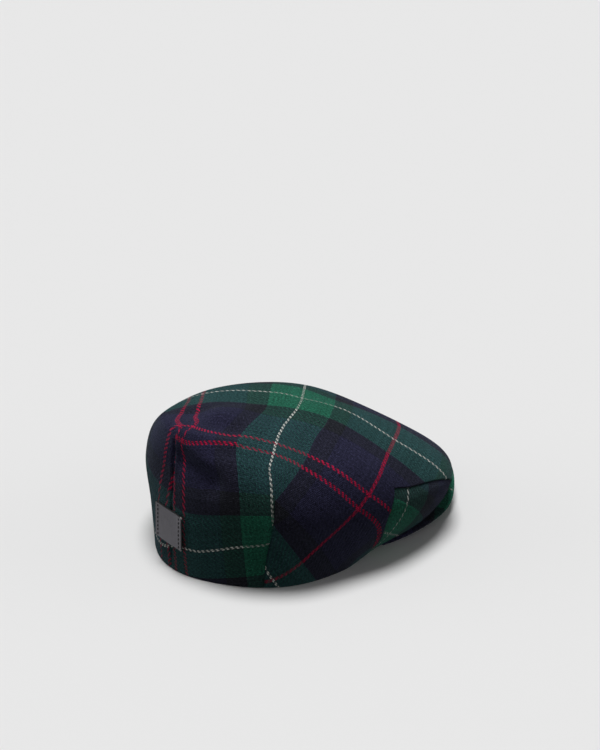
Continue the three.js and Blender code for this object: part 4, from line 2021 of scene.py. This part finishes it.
@dataclass
class Studio:
    """Pale floor, soft light and the camera."""

    azimuth: float = -128.0
    elevation: float = 27.0
    distance: float = 1500.0
    target: tuple[float, float, float] = (0.0, 25.6, 45.0)
    aim_right: float = 13.7
    aim_up: float = 82.2
    lens: float = 88.63
    sensor: float = 36.0
    clip: tuple[float, float] = (0.05, 50.0)
    sun_strength: float = 2.65
    sun_softness: float = 24.0
    sun_left: float = 0.04
    sun_away: float = 0.08
    side_softness: float = 50.0
    side_elevation: float = 8.0
    left_strength: float = 0.45
    right_strength: float = 0.36
    world_light: float = 0.14
    backdrop_light: float = 0.8
    floor_size: float = 24.0

    def _basis(self) -> tuple[Vector, Vector, Vector]:
        """Directions of the view.

        Returns:
            Unit vectors from the cap to the camera, to the view's right, and up the view.
        """
        a, e = math.radians(self.azimuth), math.radians(self.elevation)
        back = Vector((math.sin(a) * math.cos(e), -math.cos(a) * math.cos(e), math.sin(e)))
        right = Vector((math.cos(a), math.sin(a), 0.0))
        return back, right, back.cross(right)

    def place_camera(self) -> bpy.types.Object:
        """Makes the camera and aims it a little above and beside the cap.

        Returns:
            The camera.
        """
        back, right, up = self._basis()
        data = bpy.data.cameras.new("camera")
        data.lens, data.sensor_width = self.lens, self.sensor
        data.clip_start, data.clip_end = self.clip
        camera = bpy.data.objects.new("camera", data)
        target = Vector(self.target) * MM
        aim = target + (right * self.aim_right + up * self.aim_up) * MM
        camera.location = target + back * self.distance * MM
        camera.rotation_euler = (aim - camera.location).to_track_quat("-Z", "Y").to_euler()
        bpy.context.scene.collection.objects.link(camera)
        bpy.context.scene.camera = camera
        return camera

    def place_floor(self) -> bpy.types.Object:
        """Makes the floor under the cap.

        Returns:
            The floor.
        """
        half = self.floor_size / 2.0
        mesh = bpy.data.meshes.new("floor")
        corners = [(-half, -half, 0.0), (half, -half, 0.0), (half, half, 0.0), (-half, half, 0.0)]
        mesh.from_pydata(corners, [], [(0, 1, 2, 3)])
        mesh.materials.append(FloorFinish().build())
        floor = bpy.data.objects.new("floor", mesh)
        bpy.context.scene.collection.objects.link(floor)
        floor.visible_diffuse = False
        return floor

    def _add_sun(self, name: str, towards: Vector, strength: float, softness: float) -> None:
        """Adds one very soft, far light.

        Args:
            name: Name of the light.
            towards: Way from the cap to the light.
            strength: Its strength.
            softness: Its width in degrees.
        """
        data = bpy.data.lights.new(name, "SUN")
        data.energy, data.angle = strength, math.radians(softness)
        light = bpy.data.objects.new(name, data)
        light.rotation_euler = towards.normalized().to_track_quat("Z", "Y").to_euler()
        bpy.context.scene.collection.objects.link(light)

    def place_lights(self) -> None:
        """Makes a soft light overhead, a weak one at either side, and an even fill all round."""
        _, right, _ = self._basis()
        upright = Vector((0.0, 0.0, 1.0))
        ahead = upright.cross(right)
        overhead = upright - right * self.sun_left + ahead * self.sun_away
        self._add_sun("overhead_light", overhead, self.sun_strength, self.sun_softness)
        raised = upright * math.tan(math.radians(self.side_elevation))
        self._add_sun("left_light", raised - right, self.left_strength, self.side_softness)
        self._add_sun("right_light", raised + right, self.right_strength, self.side_softness)
        world = bpy.data.worlds.new("fill")
        world.use_nodes = True
        nodes, links = world.node_tree.nodes, world.node_tree.links
        fill, backdrop = nodes["Background"], nodes.new("ShaderNodeBackground")
        for node, strength in ((fill, self.world_light), (backdrop, self.backdrop_light)):
            node.inputs["Color"].default_value = (1.0, 1.0, 1.0, 1.0)
            node.inputs["Strength"].default_value = strength
        seen, mix = nodes.new("ShaderNodeLightPath"), nodes.new("ShaderNodeMixShader")
        links.new(seen.outputs["Is Camera Ray"], mix.inputs[0])
        links.new(fill.outputs[0], mix.inputs[1])
        links.new(backdrop.outputs[0], mix.inputs[2])
        links.new(mix.outputs[0], nodes["World Output"].inputs["Surface"])
        bpy.context.scene.world = world
        bpy.context.scene.view_settings.view_transform = "Standard"

    def build(self) -> None:
        """Makes the camera, the floor and the lights."""
        self.place_camera()
        self.place_floor()
        self.place_lights()


def main() -> None:
    """Builds the studio and the cap, piece by piece."""
    logging.basicConfig(level=logging.INFO, format="%(name)s %(message)s")
    Studio().build()
    low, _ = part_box("crown")
    front_reach = CapForm.sections[0].rim_out
    form = CapForm(axis_y=low.y / MM + front_reach)
    lay = ClothLay(form)
    tartan, inside = TartanFinish().build(), PlainClothFinish().build()
    Crown(form, lay).build(tartan, inside)
    for side in Side:
        Gusset(form, lay, side).build(tartan, inside)
    Peak(form).build(tartan)
    patch = Patch(form)
    patch.build(LeatherFinish().build(patch.width, patch.height))
    patch.build_stitches(ThreadFinish().build())


if __name__ == "__main__":
    main()
